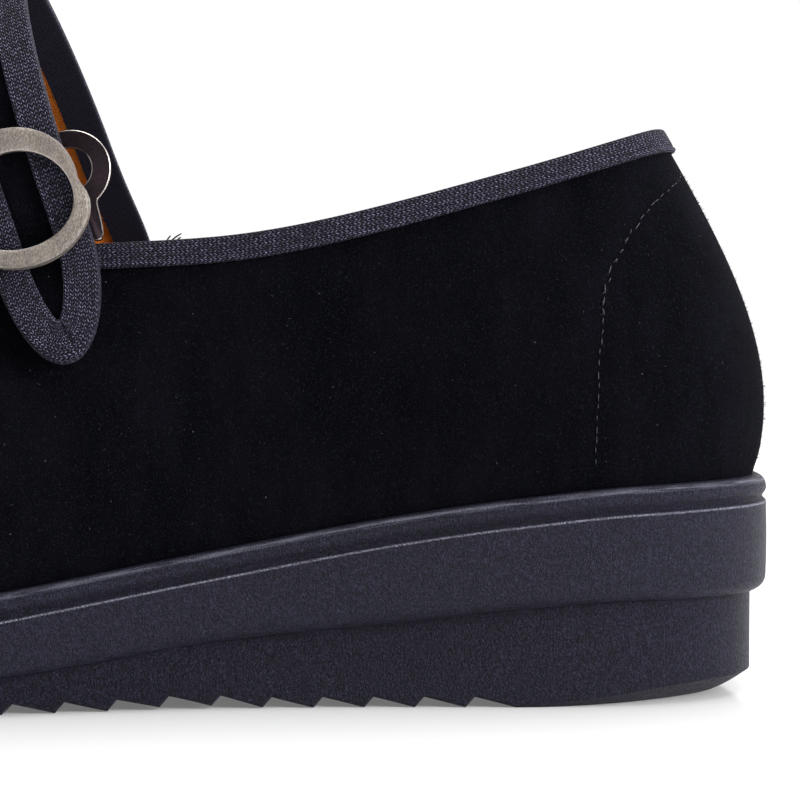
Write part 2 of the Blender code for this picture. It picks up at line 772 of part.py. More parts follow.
def plate_reach(across, upward):
    """Distance from the plate's hole to its edge: a round lobe with a square tab below it."""
    reach = PLATE_RADIUS
    if upward < 0.0:
        below = (PLATE_RISE - PLATE_FOOT) / -upward
        side = PLATE_TAB_FRONT + PLATE_BACK if across > 0.0 else PLATE_TAB_BACK - PLATE_BACK
        lean = abs(across) + PLATE_TAB_SPREAD * upward * (1.0 if across < 0.0 else 0.0)
        beside = side / lean if lean > side / below else below
        reach = max(reach, min(below, beside))
    return reach


def build_hook_plate(collection):
    """Plate with a round eye behind the strap, its tab standing just over the collar's tape."""
    face = -STRAP_HALF_STACK - CLEARANCE
    back = face - PLATE_THICKNESS
    tilt = math.atan(STRAP_LEAN)
    sections = []
    for i in range(PLATE_STEPS):
        turn = math.tau * i / PLATE_STEPS
        across = math.cos(turn)
        upward = math.sin(turn)
        section = []
        for r, h in (
            (plate_reach(across, upward), face), (plate_reach(across, upward), back),
            (PLATE_HOLE_RADIUS, back), (PLATE_HOLE_RADIUS, face),
        ):
            p = -PLATE_BACK + r * across
            q = PLATE_RISE + r * upward
            w = p * math.cos(tilt) - q * math.sin(tilt)
            s = STRAP_LAP + p * math.sin(tilt) + q * math.cos(tilt)
            section.append(strap_point(s, w, h))
        sections.append(section)
    points, faces = sweep(sections, True)
    return make_object("hook_plate", points, faces, collection)


def build_shoe():
    """Every sub-part of the shoe, in one collection."""
    clear_scene()
    shoe = bpy.data.collections.new("cloth_shoe")
    bpy.context.scene.collection.children.link(shoe)
    build_outsole(shoe)
    build_midsole(shoe)
    build_insole(shoe)
    build_upper(shoe)
    build_collar_binding(shoe)
    build_strap(shoe)
    build_strap_binding(shoe)
    build_buckle_ring(shoe)
    build_hook_plate(shoe)


build_shoe()
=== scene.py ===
"""Looks of the left cloth shoe: velvet upper, woven tape, leather-grained sole, metal buckle.

The row's frame: metres, +Z up, +X to the toe, +Y to the outer side of the foot, with the origin on
the floor. Inside the shape functions, x is measured from the back end of the sole and y from the
heel's middle line, as in the part's source.
"""

import math
from collections import namedtuple

import bmesh
import bpy
import numpy as np
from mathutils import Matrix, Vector

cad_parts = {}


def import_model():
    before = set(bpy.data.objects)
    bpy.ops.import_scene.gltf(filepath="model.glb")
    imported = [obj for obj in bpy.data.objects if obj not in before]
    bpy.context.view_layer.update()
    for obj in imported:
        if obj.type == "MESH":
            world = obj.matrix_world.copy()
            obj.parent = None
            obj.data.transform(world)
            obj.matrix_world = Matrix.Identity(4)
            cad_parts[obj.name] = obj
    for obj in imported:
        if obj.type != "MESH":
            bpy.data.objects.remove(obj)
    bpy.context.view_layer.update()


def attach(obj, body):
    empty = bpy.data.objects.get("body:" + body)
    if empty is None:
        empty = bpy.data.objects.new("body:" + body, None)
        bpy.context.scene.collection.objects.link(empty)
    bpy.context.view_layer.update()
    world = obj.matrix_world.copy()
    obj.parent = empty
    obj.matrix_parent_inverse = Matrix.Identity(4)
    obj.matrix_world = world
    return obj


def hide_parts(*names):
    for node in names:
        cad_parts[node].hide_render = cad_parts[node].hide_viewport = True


# Last and sole
SHOE_LENGTH = 0.245
BALL_HALF_WIDTH = 0.042
COLLAR_RISE = 0.061
HEEL_THICKNESS = 0.0387
BALL_THICKNESS = 0.0142
OUTSOLE_AT_HEEL = 0.0177
OUTSOLE_AT_BALL = 0.0048
TOE_SPRING = 0.0070
ARCH_LIFT = 0.0006
ARCH_LIFT_PLACE = 0.102
ARCH_LIFT_LENGTH = 0.036

# Side of the sole
BEAD_SEAT = 0.0022
BEAD_HEIGHT = 0.0042
OUTSOLE_INSET = 0.0028
CHAMFER_HEIGHT = 0.0025
BAND_BULGE = 0.00012
BAND_GAP = 0.00006

# Marks of the upper band below its bead, where no lip or groove is read
UNDER_MARK = 0.03
WALL_MARK = 0.02

# Tread
HEEL_TURN_END = 0.0084
HEEL_PAD_END = 0.0463
HEEL_LIFT = 0.0034
HEEL_BEVEL = 0.0066
EDGE_BEVEL = 0.0005
TOOTH_PITCH = 0.00866
TOOTH_DEPTH = 0.0018
TOOTH_STEEP_SHARE = 0.18
WAIST_TEETH = 12
BALL_PAD_LENGTH = 0.036
TOE_TEETH = 4

# Cloth layers
CLEARANCE = 0.0003
WALL = 0.0020
VELVET = 0.0011
INSOLE_THICKNESS = 0.0030
INSOLE_EASE = 0.0010
INSOLE_HOLLOW = 0.0007
COTTON_PITCH = 0.00055
LINING_START = 0.035
LINING_GAP = 0.00012
PUCKER_DEPTH = 0.00010
PUCKER_WAVES = 61.0
HEM_DEPTH = 0.00055
TAPE = 0.0007
TAPE_NEAR = CLEARANCE * 0.6
TAPE_FAR = CLEARANCE + TAPE
COLLAR_TAPE_WIDTH = 0.0047
COLLAR_TAPE_REACH = COLLAR_TAPE_WIDTH - TAPE - CLEARANCE
COLLAR_FOLD_POWER = 0.62
EDGE_RIDGE = 0.00013
EDGE_GROOVE = 0.00010
TAPE_EDGE_IN = 0.00026
# The tape's own black, which the weave also uses as painted shade in the gaps between its yarns
TAPE_BLACK_GAP_SHADE = (0.003, 0.003, 0.007)

# Counter seam, lint and pile
SEAM_ROWS = 3.0
ROW_LENGTH = 0.021
WALL_LENGTH = 0.062
SEAM_DEPTH = 0.00030
SEAM_REACH = 0.0011
STITCH_START = 0.0006
STITCH_END = 0.002
STITCH_LENGTH = 0.0008
STITCH_LENGTH_SPREAD = 0.0006
STITCH_PITCH = 0.0016
STITCH_PITCH_SPREAD = 0.0005
STITCH_RADIUS = 0.000065
TUFT_LENGTH = 0.0013
HAIR_RADIUS = 0.00004
LINT_COUNT = 1300
PILE_COUNT = 7000
PILE_ROOT = 0.00012
TUBE_SIDE = (0.31, 0.87, 0.38)

# Strap
STRAP_WIDTH = 0.0178
STRAP_CORE = 0.0016
STRAP_HALF_STACK = STRAP_CORE / 2.0 + CLEARANCE + TAPE
STRAP_GAP = 0.00005
STRAP_BULGE = 0.00012
STRAP_FOLD_POWER = 0.6
STRAP_TAPE_WIDTH = 0.0060
STRAP_FOLD_WIDTH = 0.0064
STRAP_LAP = 0.0205
STRAP_TIP = 0.0200
STRAP_ARCH = 0.0475
STRAP_LEAN = 0.338
STRAP_SKEW = 0.0043
STRAP_BACK = 0.035
LAP_TURN = -0.165
LAP_EASE = 0.0004
LAP_SINK = 0.80
ROOT_DEPTH = 0.0100
ROOT_FLARE = 0.0030
ROOT_FLARE_LENGTH = 0.030
ROOT_EASE = 0.0014
STRAP_REACH = 0.0008
FOLD_FIRST_COLUMN = 17
FOLD_LAST_COLUMN = 29

# Buckle
RING_RADIUS = 0.0122
RING_HOLE_ACROSS = 0.0094
RING_HOLE_ALONG = 0.0083
RING_THICKNESS = 0.0012
RING_RISE = 0.0086
RING_AHEAD = 0.0008
RING_ROUND_OFF = 0.00016
RING_CROWN = 0.0009
RING_CROWN_RISE = 0.00003
PLATE_RADIUS = 0.0070
PLATE_HOLE_RADIUS = 0.0038
PLATE_THICKNESS = 0.0010
PLATE_BACK = 0.0043
PLATE_RISE = 0.0140
PLATE_TAB_BACK = 0.0075
PLATE_TAB_SPREAD = 0.235
PLATE_TAB_FRONT = 0.0010
PLATE_FOOT = 0.0024
PLATE_ROUND_OFF = 0.00014
PLATE_CORNER_SOFTENING = (0.06, 0.24, 0.40, 0.24, 0.06)

# Camera: 2200 pixels of focal length in an image 800 pixels wide, looking a little down
IMAGE_SIZE = 800
FOCAL_PIXELS = 2200.0
HORIZON_ABOVE_MIDDLE = 83.0
SENSOR_WIDTH = 36.0
CAMERA_ALONG = 0.0662
CAMERA_DISTANCE = 0.400
CAMERA_HEIGHT = 0.0667

# Stage
FLOOR_CORNERS = ((-2.4, -0.9), (2.4, -0.9), (2.4, 2.4), (-2.4, 2.4))
Light = namedtuple("Light", "name place aim size power")
LIGHTS = (
    Light("overhead", (-0.10, 0.05, 1.1), (0.0, 0.0, 0.0), (1.0, 0.8), 10.5),
    Light("front", (-0.75, 0.70, 0.85), (-0.03, 0.0, 0.05), (0.35, 0.35), 3.8),
    Light("heel_rim", (-0.92, 0.38, 0.28), (-0.08, 0.0, 0.04), (0.25, 0.5), 10.5),
)
# Strength of the sky, by its direction's Y: full behind the shoe and dim on the camera's side
SKY = {"From Min": -0.35, "From Max": 0.45, "To Min": 1.02, "To Max": 0.12}

# Fineness of the meshes
OUTLINE_STEPS = 4000
AROUND_STEPS = 720
WALL_ROWS = 44
TAPE_STEPS = 1080
TAPE_DEPTH_STEPS = 12
SOLE_STATIONS = 190
STRAP_STEP = 0.0008
STRAP_COLUMNS = 15
TIP_STEPS = 26
RING_STEPS = 160
PLATE_STEPS = 150

Section = namedtuple(
    "Section",
    "place along side collar_along collar_side collar_rise low_out low_up top_out top_down",
)
SECTIONS = (
    Section("heel", 0.000, 0.000, 0.078, 0.00, 1.000, 0.093, 0.31, 0.225, 0.39),
    Section("outer heel turn", 0.026, 0.430, 0.091, 0.27, 0.992, 0.088, 0.31, 0.205, 0.38),
    Section("outer heel", 0.120, 0.675, 0.147, 0.46, 0.936, 0.078, 0.30, 0.130, 0.34),
    Section("outer seat", 0.258, 0.695, 0.270, 0.56, 0.862, 0.062, 0.30, 0.085, 0.30),
    Section("outer waist", 0.395, 0.735, 0.398, 0.60, 0.854, 0.060, 0.30, 0.080, 0.30),
    Section("outer strap", 0.530, 0.860, 0.520, 0.585, 0.910, 0.060, 0.31, 0.130, 0.30),
    Section("outer ball", 0.675, 0.995, 0.607, 0.50, 0.860, 0.060, 0.30, 0.220, 0.26),
    Section("outer toe side", 0.820, 0.900, 0.662, 0.35, 0.785, 0.050, 0.30, 0.360, 0.24),
    Section("outer toe turn", 0.945, 0.540, 0.690, 0.13, 0.725, 0.042, 0.30, 0.500, 0.22),
    Section("toe", 1.000, -0.100, 0.697, -0.07, 0.705, 0.036, 0.30, 0.560, 0.21),
    Section("inner toe turn", 0.955, -0.640, 0.690, -0.27, 0.730, 0.042, 0.30, 0.480, 0.22),
    Section("inner toe side", 0.845, -0.930, 0.664, -0.46, 0.795, 0.050, 0.30, 0.350, 0.24),
    Section("inner ball", 0.715, -0.985, 0.612, -0.56, 0.870, 0.060, 0.30, 0.220, 0.26),
    Section("inner strap", 0.570, -0.830, 0.520, -0.59, 0.925, 0.060, 0.31, 0.120, 0.30),
    Section("inner waist", 0.425, -0.700, 0.400, -0.585, 0.880, 0.060, 0.30, 0.075, 0.30),
    Section("inner seat", 0.275, -0.655, 0.270, -0.54, 0.870, 0.062, 0.30, 0.085, 0.30),
    Section("inner heel", 0.125, -0.650, 0.147, -0.45, 0.936, 0.078, 0.30, 0.130, 0.34),
    Section("inner heel turn", 0.027, -0.420, 0.091, -0.27, 0.992, 0.088, 0.31, 0.205, 0.38),
)
COUNT = len(SECTIONS)
OUTER_STRAP_ROW = 5
INNER_STRAP_ROW = 13
INNER_WAIST_ROW = 14

Wedge = namedtuple("Wedge", "place along top step")
WEDGE = (
    Wedge("heel end", 0.000, 1.000, 1.025),
    Wedge("heel", 0.105, 0.966, 1.035),
    Wedge("heel front", 0.190, 0.882, 0.925),
    Wedge("seat", 0.270, 0.768, 0.762),
    Wedge("waist", 0.400, 0.532, 0.520),
    Wedge("strap", 0.545, 0.262, 0.120),
    Wedge("ball back", 0.650, 0.090, 0.012),
    Wedge("ball", 0.755, 0.000, 0.000),
    Wedge("toe", 1.000, 0.000, 0.000),
)

# Side of the midsole from its top down. inset is a share of the bead's seat, drop of its height.
Bead = namedtuple("Bead", "place inset drop")
BEAD = (
    Bead("seat", 1.00, 0.00),
    Bead("seat edge", 0.72, 0.025),
    Bead("crown", 0.42, 0.10),
    Bead("crown front", 0.22, 0.19),
    Bead("shoulder", 0.08, 0.33),
    Bead("upper face", 0.015, 0.47),
    Bead("face", 0.00, 0.60),
    Bead("lower face", 0.06, 0.71),
    Bead("groove side", 0.20, 0.81),
    Bead("groove", 0.31, 0.91),
    Bead("groove foot", 0.28, 1.00),
    Bead("lip back", 0.14, 1.08),
    Bead("lip top", 0.015, 1.14),
    Bead("lip", -0.02, 1.18),
    Bead("lip front", -0.01, 1.24),
    Bead("wall", 0.00, 1.34),
)

Arch = namedtuple("Arch", "place across rise")
ARCH = (
    Arch("outer rise", 0.990, 0.24),
    Arch("outer shoulder", 0.900, 0.49),
    Arch("outer crown side", 0.670, 0.74),
    Arch("outer crown", 0.330, 0.93),
    Arch("crown", -0.050, 1.00),
    Arch("inner crown", -0.410, 0.92),
    Arch("inner crown side", -0.720, 0.73),
    Arch("inner shoulder", -0.920, 0.48),
    Arch("inner rise", -1.000, 0.23),
)

# Line of the counter's seam on the wall, from its upper end behind the collar to the sole.
# around is a row number of the sections, up a share of the wall's height.
Seam = namedtuple("Seam", "place around up")
SEAM = (
    Seam("back", 0.46, 0.905),
    Seam("shoulder", 0.80, 0.880),
    Seam("bend", 1.22, 0.845),
    Seam("turn", 1.50, 0.800),
    Seam("upper side", 1.68, 0.750),
    Seam("side", 1.86, 0.665),
    Seam("middle", 1.94, 0.590),
    Seam("lower middle", 1.98, 0.510),
    Seam("lower side", 2.03, 0.420),
    Seam("low", 2.07, 0.300),
    Seam("lowest", 2.10, 0.170),
    Seam("foot", 2.11, 0.030),
)

# Soft folds of the upper. around and up say where the middle lies, spread_around in section rows
# and spread_up in shares of the wall say how far it reaches, lean shears it and depth is in metres.
Fold = namedtuple("Fold", "place around up spread_around spread_up lean depth")
FOLDS = (
    Fold("strap hollow", 4.55, 0.62, 0.42, 0.22, 0.9, -0.00035),
    Fold("strap ridge", 4.05, 0.70, 0.30, 0.20, 0.8, 0.00022),
    Fold("outer waist hollow", 3.35, 0.45, 0.36, 0.34, 0.4, -0.00030),
    Fold("outer waist ridge", 2.85, 0.55, 0.26, 0.26, 0.3, 0.00018),
    Fold("outer ball hollow", 6.10, 0.60, 0.40, 0.20, -0.6, -0.00060),
    Fold("outer ball ridge", 6.60, 0.62, 0.26, 0.18, -0.5, 0.00030),
    Fold("vamp hollow", 9.00, 0.72, 1.10, 0.10, 0.0, -0.00060),
    Fold("vamp ridge", 9.00, 0.58, 1.00, 0.09, 0.0, 0.00050),
    Fold("inner ball hollow", 12.10, 0.60, 0.45, 0.20, 0.6, -0.00060),
    Fold("inner ball ridge", 11.50, 0.62, 0.28, 0.18, 0.5, 0.00030),
    Fold("inner waist hollow", 14.60, 0.50, 0.40, 0.30, -0.4, -0.00035),
    Fold("inner waist ridge", 15.20, 0.55, 0.30, 0.26, -0.3, 0.00020),
    Fold("inner strap hollow", 13.40, 0.66, 0.36, 0.20, -0.8, -0.00025),
)

# The node that each piece stands for, and its material slot
ROLES = {
    "sole_upper_band": ("midsole", "midsole"),
    "sole_lower_band": ("outsole", "outsole"),
    "footbed": ("insole", "lining"),
    "velvet_upper": ("upper", "velvet"),
    "cotton_lining": (None, "lining"),
    "counter_stitches": (None, "tape"),
    "lint": (None, "tape"),
    "pile": (None, "velvet"),
    "collar_tape": ("collar_binding", "tape"),
    "strap_velvet": ("strap", "velvet"),
    "strap_lining": (None, "lining"),
    "strap_tape": ("strap_binding", "tape"),
    "ring": ("buckle_ring", "ring"),
    "plate": ("hook_plate", "plate"),
    "frayed_threads": (None, "tape"),
}

# Creases of the tape round the strap's tip: length from the tip, depth and width
TIP_CREASES = ((-0.0016, -0.00034, 0.0008), (-0.0036, 0.00018, 0.0012), (0.0042, -0.00022, 0.0010))

# The ring's dent: degrees round it from the toe side, and depth
NOTCH = (
    (128.0, 0.0), (143.0, 0.00008), (155.0, 0.00050), (168.0, 0.00105), (175.0, 0.00140),
    (181.0, 0.00125), (187.0, 0.00070), (196.0, 0.00022), (208.0, 0.0),
)

# Loose threads: place round the collar, lean, height and bend
FRAYS = ((4.25, 1.1, 0.0019, 0.5), (4.27, 0.5, 0.0015, -0.6), (4.22, 1.0, 0.0010, 0.3))


def spline(rows, closed):
    """A function of row numbers that runs smoothly through every row, and round where it is closed."""
    points = np.array(rows, float)
    count = len(points)
    eye = np.eye(count)
    matrix = 4.0 * eye + np.roll(eye, 1, 0) + np.roll(eye, -1, 0)
    pull = 6.0 * (np.roll(points, -1, 0) - 2.0 * points + np.roll(points, 1, 0))
    if not closed:
        for end in (0, -1):
            matrix[end] = eye[end]
            pull[end] = 0.0
    bend = np.linalg.solve(matrix, pull)

    def at(places):
        low = np.floor(places).astype(int)
        if not closed:
            low = np.clip(low, 0, count - 2)
        t = (places - low)[..., None]
        a = low % count
        b = (low + 1) % count
        straight = (1.0 - t) * points[a] + t * points[b]
        return straight + (((1.0 - t) ** 3 - 1.0 + t) * bend[a] + (t ** 3 - t) * bend[b]) / 6.0

    return at


def even_curve(xs, ys):
    """A function through the given rows that never overshoots between them."""
    xs = np.array(xs, float)
    ys = np.array(ys, float)
    slopes = np.diff(ys) / np.diff(xs)
    tangents = np.zeros(len(xs))
    for i in range(1, len(xs) - 1):
        if slopes[i - 1] * slopes[i] > 0.0:
            tangents[i] = 2.0 * slopes[i - 1] * slopes[i] / (slopes[i - 1] + slopes[i])

    def at(x):
        i = np.clip(np.searchsorted(xs, x) - 1, 0, len(xs) - 2)
        width = xs[i + 1] - xs[i]
        t = np.clip((x - xs[i]) / width, 0.0, 1.0)
        rise = (3.0 - 2.0 * t) * t * t
        lead = t * (1.0 - t) ** 2 * width * tangents[i]
        trail = t * t * (t - 1.0) * width * tangents[i + 1]
        return ys[i] + (ys[i + 1] - ys[i]) * rise + lead + trail

    return at


outline = spline([(row.along * SHOE_LENGTH, row.side * BALL_HALF_WIDTH) for row in SECTIONS], True)
collar_plan = spline(
    [(row.collar_along * SHOE_LENGTH, row.collar_side * BALL_HALF_WIDTH) for row in SECTIONS], True
)
wall_shape = spline([[COLLAR_RISE * share for share in row[5:]] for row in SECTIONS], True)
wedge_top = even_curve([row.along for row in WEDGE], [row.top for row in WEDGE])
wedge_step = even_curve([row.along for row in WEDGE], [row.step for row in WEDGE])
SEAM_LINE = spline([(row.around, row.up) for row in SEAM], False)(np.linspace(0.0, len(SEAM) - 1.0, 400))
BALL_PAD_START = HEEL_PAD_END + WAIST_TEETH * TOOTH_PITCH
BALL_PAD_END = BALL_PAD_START + BALL_PAD_LENGTH


def unit(vectors):
    """The same directions with length one."""
    return vectors / np.linalg.norm(vectors, axis=-1, keepdims=True)


def hump(x, middle, reach):
    """One at its middle, fading softly on both sides."""
    return np.exp(-((x - middle) / reach) ** 2)


def outward(places):
    """Directions straight out of the sole's outline, seen from above."""
    ahead = outline(places + 0.01) - outline(places - 0.01)
    return unit(np.stack((-ahead[..., 1], ahead[..., 0]), -1))


def inset_outline(inset):
    """The sole's outline moved in, as its outer half and its inner half, both from heel to toe."""
    dense = OUTLINE_STEPS
    places = COUNT * np.arange(dense) / dense
    loop = outline(places) - outward(places) * inset
    toe = int(np.argmax(loop[:, 0]))
    heel = int(np.argmin(np.roll(loop[:, 0], dense // 2))) - dense // 2
    outer = loop[np.arange(heel, toe + 1) % dense]
    inner = loop[np.arange(heel + dense, toe - 1, -1) % dense]
    return outer, inner


PLAN = inset_outline(0.0)
SIDE_MIDDLE = (PLAN[0][:, 1].max() + PLAN[1][:, 1].min()) / 2.0
ORIGIN = np.array((SHOE_LENGTH / 2.0, SIDE_MIDDLE, 0.0))


def spring(x):
    """How far the toe lifts the sole at distances from the heel."""
    share = np.maximum(0.0, (x - BALL_PAD_END) / (SHOE_LENGTH - BALL_PAD_END))
    return TOE_SPRING * share * share


def sole_top(x):
    """Height of the midsole's top."""
    return BALL_THICKNESS + (HEEL_THICKNESS - BALL_THICKNESS) * wedge_top(x / SHOE_LENGTH) + spring(x)


def sole_step(x):
    """Height of the step between the midsole and the outsole."""
    share = wedge_step(x / SHOE_LENGTH)
    return OUTSOLE_AT_BALL + (OUTSOLE_AT_HEEL - OUTSOLE_AT_BALL) * share + spring(x)


def tread_stations():
    """Distances from the heel where the tread turns, each with the tread's depth there."""
    stations = []
    for start, teeth in ((HEEL_PAD_END, WAIST_TEETH), (BALL_PAD_END, TOE_TEETH)):
        for i in range(teeth):
            tip = start + i * TOOTH_PITCH
            stations.append((tip, 0.0))
            stations.append((tip + (1.0 - TOOTH_STEEP_SHARE) * TOOTH_PITCH, TOOTH_DEPTH))
        stations.append((start + teeth * TOOTH_PITCH, 0.0))
    return np.array(stations)


TREAD = tread_stations()


def sole_bottom(x):
    """Height of the outsole's underside."""
    tooth = np.interp(x, TREAD[:, 0], TREAD[:, 1])
    waist = (x - ARCH_LIFT_PLACE) / ARCH_LIFT_LENGTH
    arch = np.where(np.abs(waist) < 0.5, ARCH_LIFT * np.cos(np.pi * waist) ** 2, 0.0)
    return tooth + arch + spring(x)


def heel_share(x):
    """Share of the heel's bevel, from none at the end of the flat heel to all of it at the back."""
    share = np.clip((HEEL_PAD_END - x) / (HEEL_PAD_END - HEEL_TURN_END), 0.0, 1.0)
    return share * share * (3.0 - 2.0 * share)


def wall_grid(places, shares):
    """Points of the upper's outer face for every place round the shoe and share of the height."""
    shape = wall_shape(places)
    normal = outward(places)
    foot = outline(places) - normal * BEAD_SEAT
    rim = collar_plan(places)
    start = np.column_stack((foot, sole_top(foot[:, 0]) + CLEARANCE))
    end = np.column_stack((rim, sole_top(rim[:, 0]) + shape[:, 0]))
    low = start + np.column_stack((normal * shape[:, 1:2], shape[:, 2]))
    top = end + np.column_stack((normal * shape[:, 3:4], -shape[:, 4]))
    v = np.broadcast_to(shares, (len(places), shares.shape[-1]))[..., None]
    w = 1.0 - v
    start, end, low, top = (part[:, None, :] for part in (start, end, low, top))
    return w ** 3 * start + 3.0 * w * w * v * low + 3.0 * w * v * v * top + v ** 3 * end


def wall_normals(places, shares):
    """Directions out of the upper's outer face at the same places and shares."""
    around = wall_grid(places + 0.01, shares) - wall_grid(places - 0.01, shares)
    upward = wall_grid(places, shares + 0.005) - wall_grid(places, shares - 0.005)
    return unit(np.cross(upward, around))


def wall_below(places, depths):
    """Shares at which the wall is the given lengths below the collar, for every place."""
    steps = np.linspace(1.0, 0.2, 97)
    points = wall_grid(places, steps)
    run = np.cumsum(np.linalg.norm(np.diff(points, axis=1), axis=2), axis=1)
    run = np.concatenate((np.zeros((len(points), 1)), run), 1)
    return np.array([np.interp(depths, row, steps) for row in run])


def folds(places, shares):
    """How far the upper's face stands out or in at its soft folds."""
    places, shares = np.broadcast_arrays(places, shares)
    total = np.zeros(places.shape)
    for row in FOLDS:
        apart = (places - row.around + COUNT / 2.0) % COUNT - COUNT / 2.0
        a = (apart - row.lean * (shares - row.up)) / row.spread_around
        b = (shares - row.up) / row.spread_up
        total += row.depth * np.exp(-a * a - b * b)
    return total


def link(name, data):
    """An object of the scene for a mesh, a light or a camera."""
    made = bpy.data.objects.new(name, data)
    bpy.context.scene.collection.objects.link(made)
    return made


def add_piece(name, points, faces, material, marks, angle):
    """A closed mesh piece in the row's frame. marks holds each face corner's flat place on the cloth."""
    mesh = bpy.data.meshes.new(name)
    mesh.from_pydata((np.asarray(points) - ORIGIN).tolist(), [], faces)
    if marks is not None:
        layer = mesh.attributes.new("cloth", "FLOAT_VECTOR", "CORNER")
        flat = np.zeros((len(mesh.loops), 3), np.float32)
        flat[:, :2] = np.asarray(marks, np.float32)
        layer.data.foreach_set("vector", flat.ravel())
    mesh.validate(clean_customdata=False)
    mesh.shade_smooth()
    mesh.set_sharp_from_angle(angle=math.radians(angle))
    mesh.materials.append(material)
    work = bmesh.new()
    work.from_mesh(mesh)
    bmesh.ops.recalc_face_normals(work, faces=work.faces)
    work.to_mesh(mesh)
    work.free()
    return link(name, mesh)


def second_material(piece, material, columns, chosen):
    """Give a second material to the faces whose columns of points are chosen."""
    piece.data.materials.append(material)
    for polygon in piece.data.polygons:
        if chosen(sorted({vertex % columns for vertex in polygon.vertices})):
            polygon.material_index = 1
    return piece


def grid_faces(rows, columns, closed):
    """Faces of a grid with closed columns, and the row and column numbers of their corners, unwrapped."""
    i, j = np.meshgrid(np.arange(rows if closed else rows - 1), np.arange(columns), indexing="ij")
    corner_i = i.ravel()[:, None] + (0, 1, 1, 0)
    corner_j = j.ravel()[:, None] + (0, 0, 1, 1)
    faces = (corner_i % rows) * columns + corner_j % columns
    return faces.tolist(), corner_i.ravel(), corner_j.ravel()


def run_lengths(points, closed):
    """Length run along a line of points, with the closing length at its end where it is closed."""
    line = np.concatenate((points, points[:1])) if closed else points
    return np.concatenate(([0.0], np.cumsum(np.linalg.norm(np.diff(line, axis=0), axis=1))))


def sweep_piece(name, sections, closed, along, across, material, angle=60.0):
    """A piece through closed sections, with flat places for its weave."""
    rows, columns = sections.shape[:2]
    faces, corner_i, corner_j = grid_faces(rows, columns, closed)
    marks = np.stack((along[corner_i], across[corner_j]), 1)
    if not closed:
        for row, order in ((0, range(columns)), (rows - 1, range(columns - 1, -1, -1))):
            faces.append([row * columns + j for j in order])
            marks = np.concatenate((marks, [(along[row], across[j]) for j in order]))
    return add_piece(name, sections.reshape(-1, 3), faces, material, marks, angle)


def shell_piece(name, outer, inner, closed, along, up, material):
    """A piece between an outer and an inner sheet of the same grid."""
    sections = np.concatenate((outer, inner[:, ::-1]), 1)
    across = np.concatenate((up, up[::-1], up[:1]))
    return sweep_piece(name, sections, closed, along, across, material)


# Materials


class Finish:
    """A node material under construction."""

    def __init__(self, name, colour, roughness, metallic=0.0, specular=0.5):
        self.material = bpy.data.materials.new(name)
        self.material.use_nodes = True
        self.tree = self.material.node_tree
        self.put({
            "Base Color": (*colour, 1.0),
            "Roughness": roughness,
            "Metallic": metallic,
            "Specular IOR Level": specular,
        })

    def put(self, values, made=None):
        """Set or link sockets by name or number, on the shader or on another node."""
        if made is None:
            made = self.tree.nodes["Principled BSDF"]
        for key, value in values.items():
            if isinstance(value, bpy.types.NodeSocket):
                self.tree.links.new(value, made.inputs[key])
            else:
                made.inputs[key].default_value = value

    def node(self, kind, values, **settings):
        """The outputs of a new node."""
        made = self.tree.nodes.new(kind)
        for key, value in settings.items():
            setattr(made, key, value)
        self.put(values, made)
        return made.outputs

    def place(self, scale=(1.0, 1.0, 1.0)):
        """Places in the row's frame, stretched."""
        plain = self.node("ShaderNodeTexCoord", {})["Object"]
        return self.node("ShaderNodeMapping", {"Vector": plain, "Scale": scale})["Vector"]

    def cloth(self):
        """The flat place on the cloth, along and across, in metres."""
        read = self.node("ShaderNodeAttribute", {}, attribute_name="cloth")["Vector"]
        split = self.node("ShaderNodeSeparateXYZ", {"Vector": read})
        return split["X"], split["Y"]

    def sum(self, operation, a, b=0.0):
        """One step of arithmetic."""
        return self.node("ShaderNodeMath", {0: a, 1: b}, operation=operation)[0]

    def times(self, a, b):
        return self.sum("MULTIPLY", a, b)

    def noise(self, scale, detail=2.0, roughness=0.5, vector=None):
        vector = self.place() if vector is None else vector
        values = {"Vector": vector, "Scale": scale, "Detail": detail, "Roughness": roughness}
        return self.node("ShaderNodeTexNoise", values)["Fac"]

    def cells(self, scale, feature="F1"):
        return self.node("ShaderNodeTexVoronoi", {"Vector": self.place(), "Scale": scale}, feature=feature)

    def ramp(self, value, low, high, to_low=0.0, to_high=1.0):
        """The value mapped from one range to another and held inside it."""
        values = {"Value": value, "From Min": low, "From Max": high, "To Min": to_low, "To Max": to_high}
        return self.node("ShaderNodeMapRange", values)["Result"]

    def mix(self, share, first, second):
        """A blend of two colours."""
        values = {0: share}
        for key, colour in ((6, first), (7, second)):
            values[key] = (*colour, 1.0) if isinstance(colour, tuple) else colour
        return self.node("ShaderNodeMix", values, data_type="RGBA")[2]

    def bump(self, height, distance, strength=1.0, before=None):
        values = {"Height": height, "Distance": distance, "Strength": strength}
        if before is not None:
            values["Normal"] = before
        return self.node("ShaderNodeBump", values)["Normal"]


def shaded(colour, share):
    """The colour made darker or paler."""
    return tuple(share * value for value in colour)


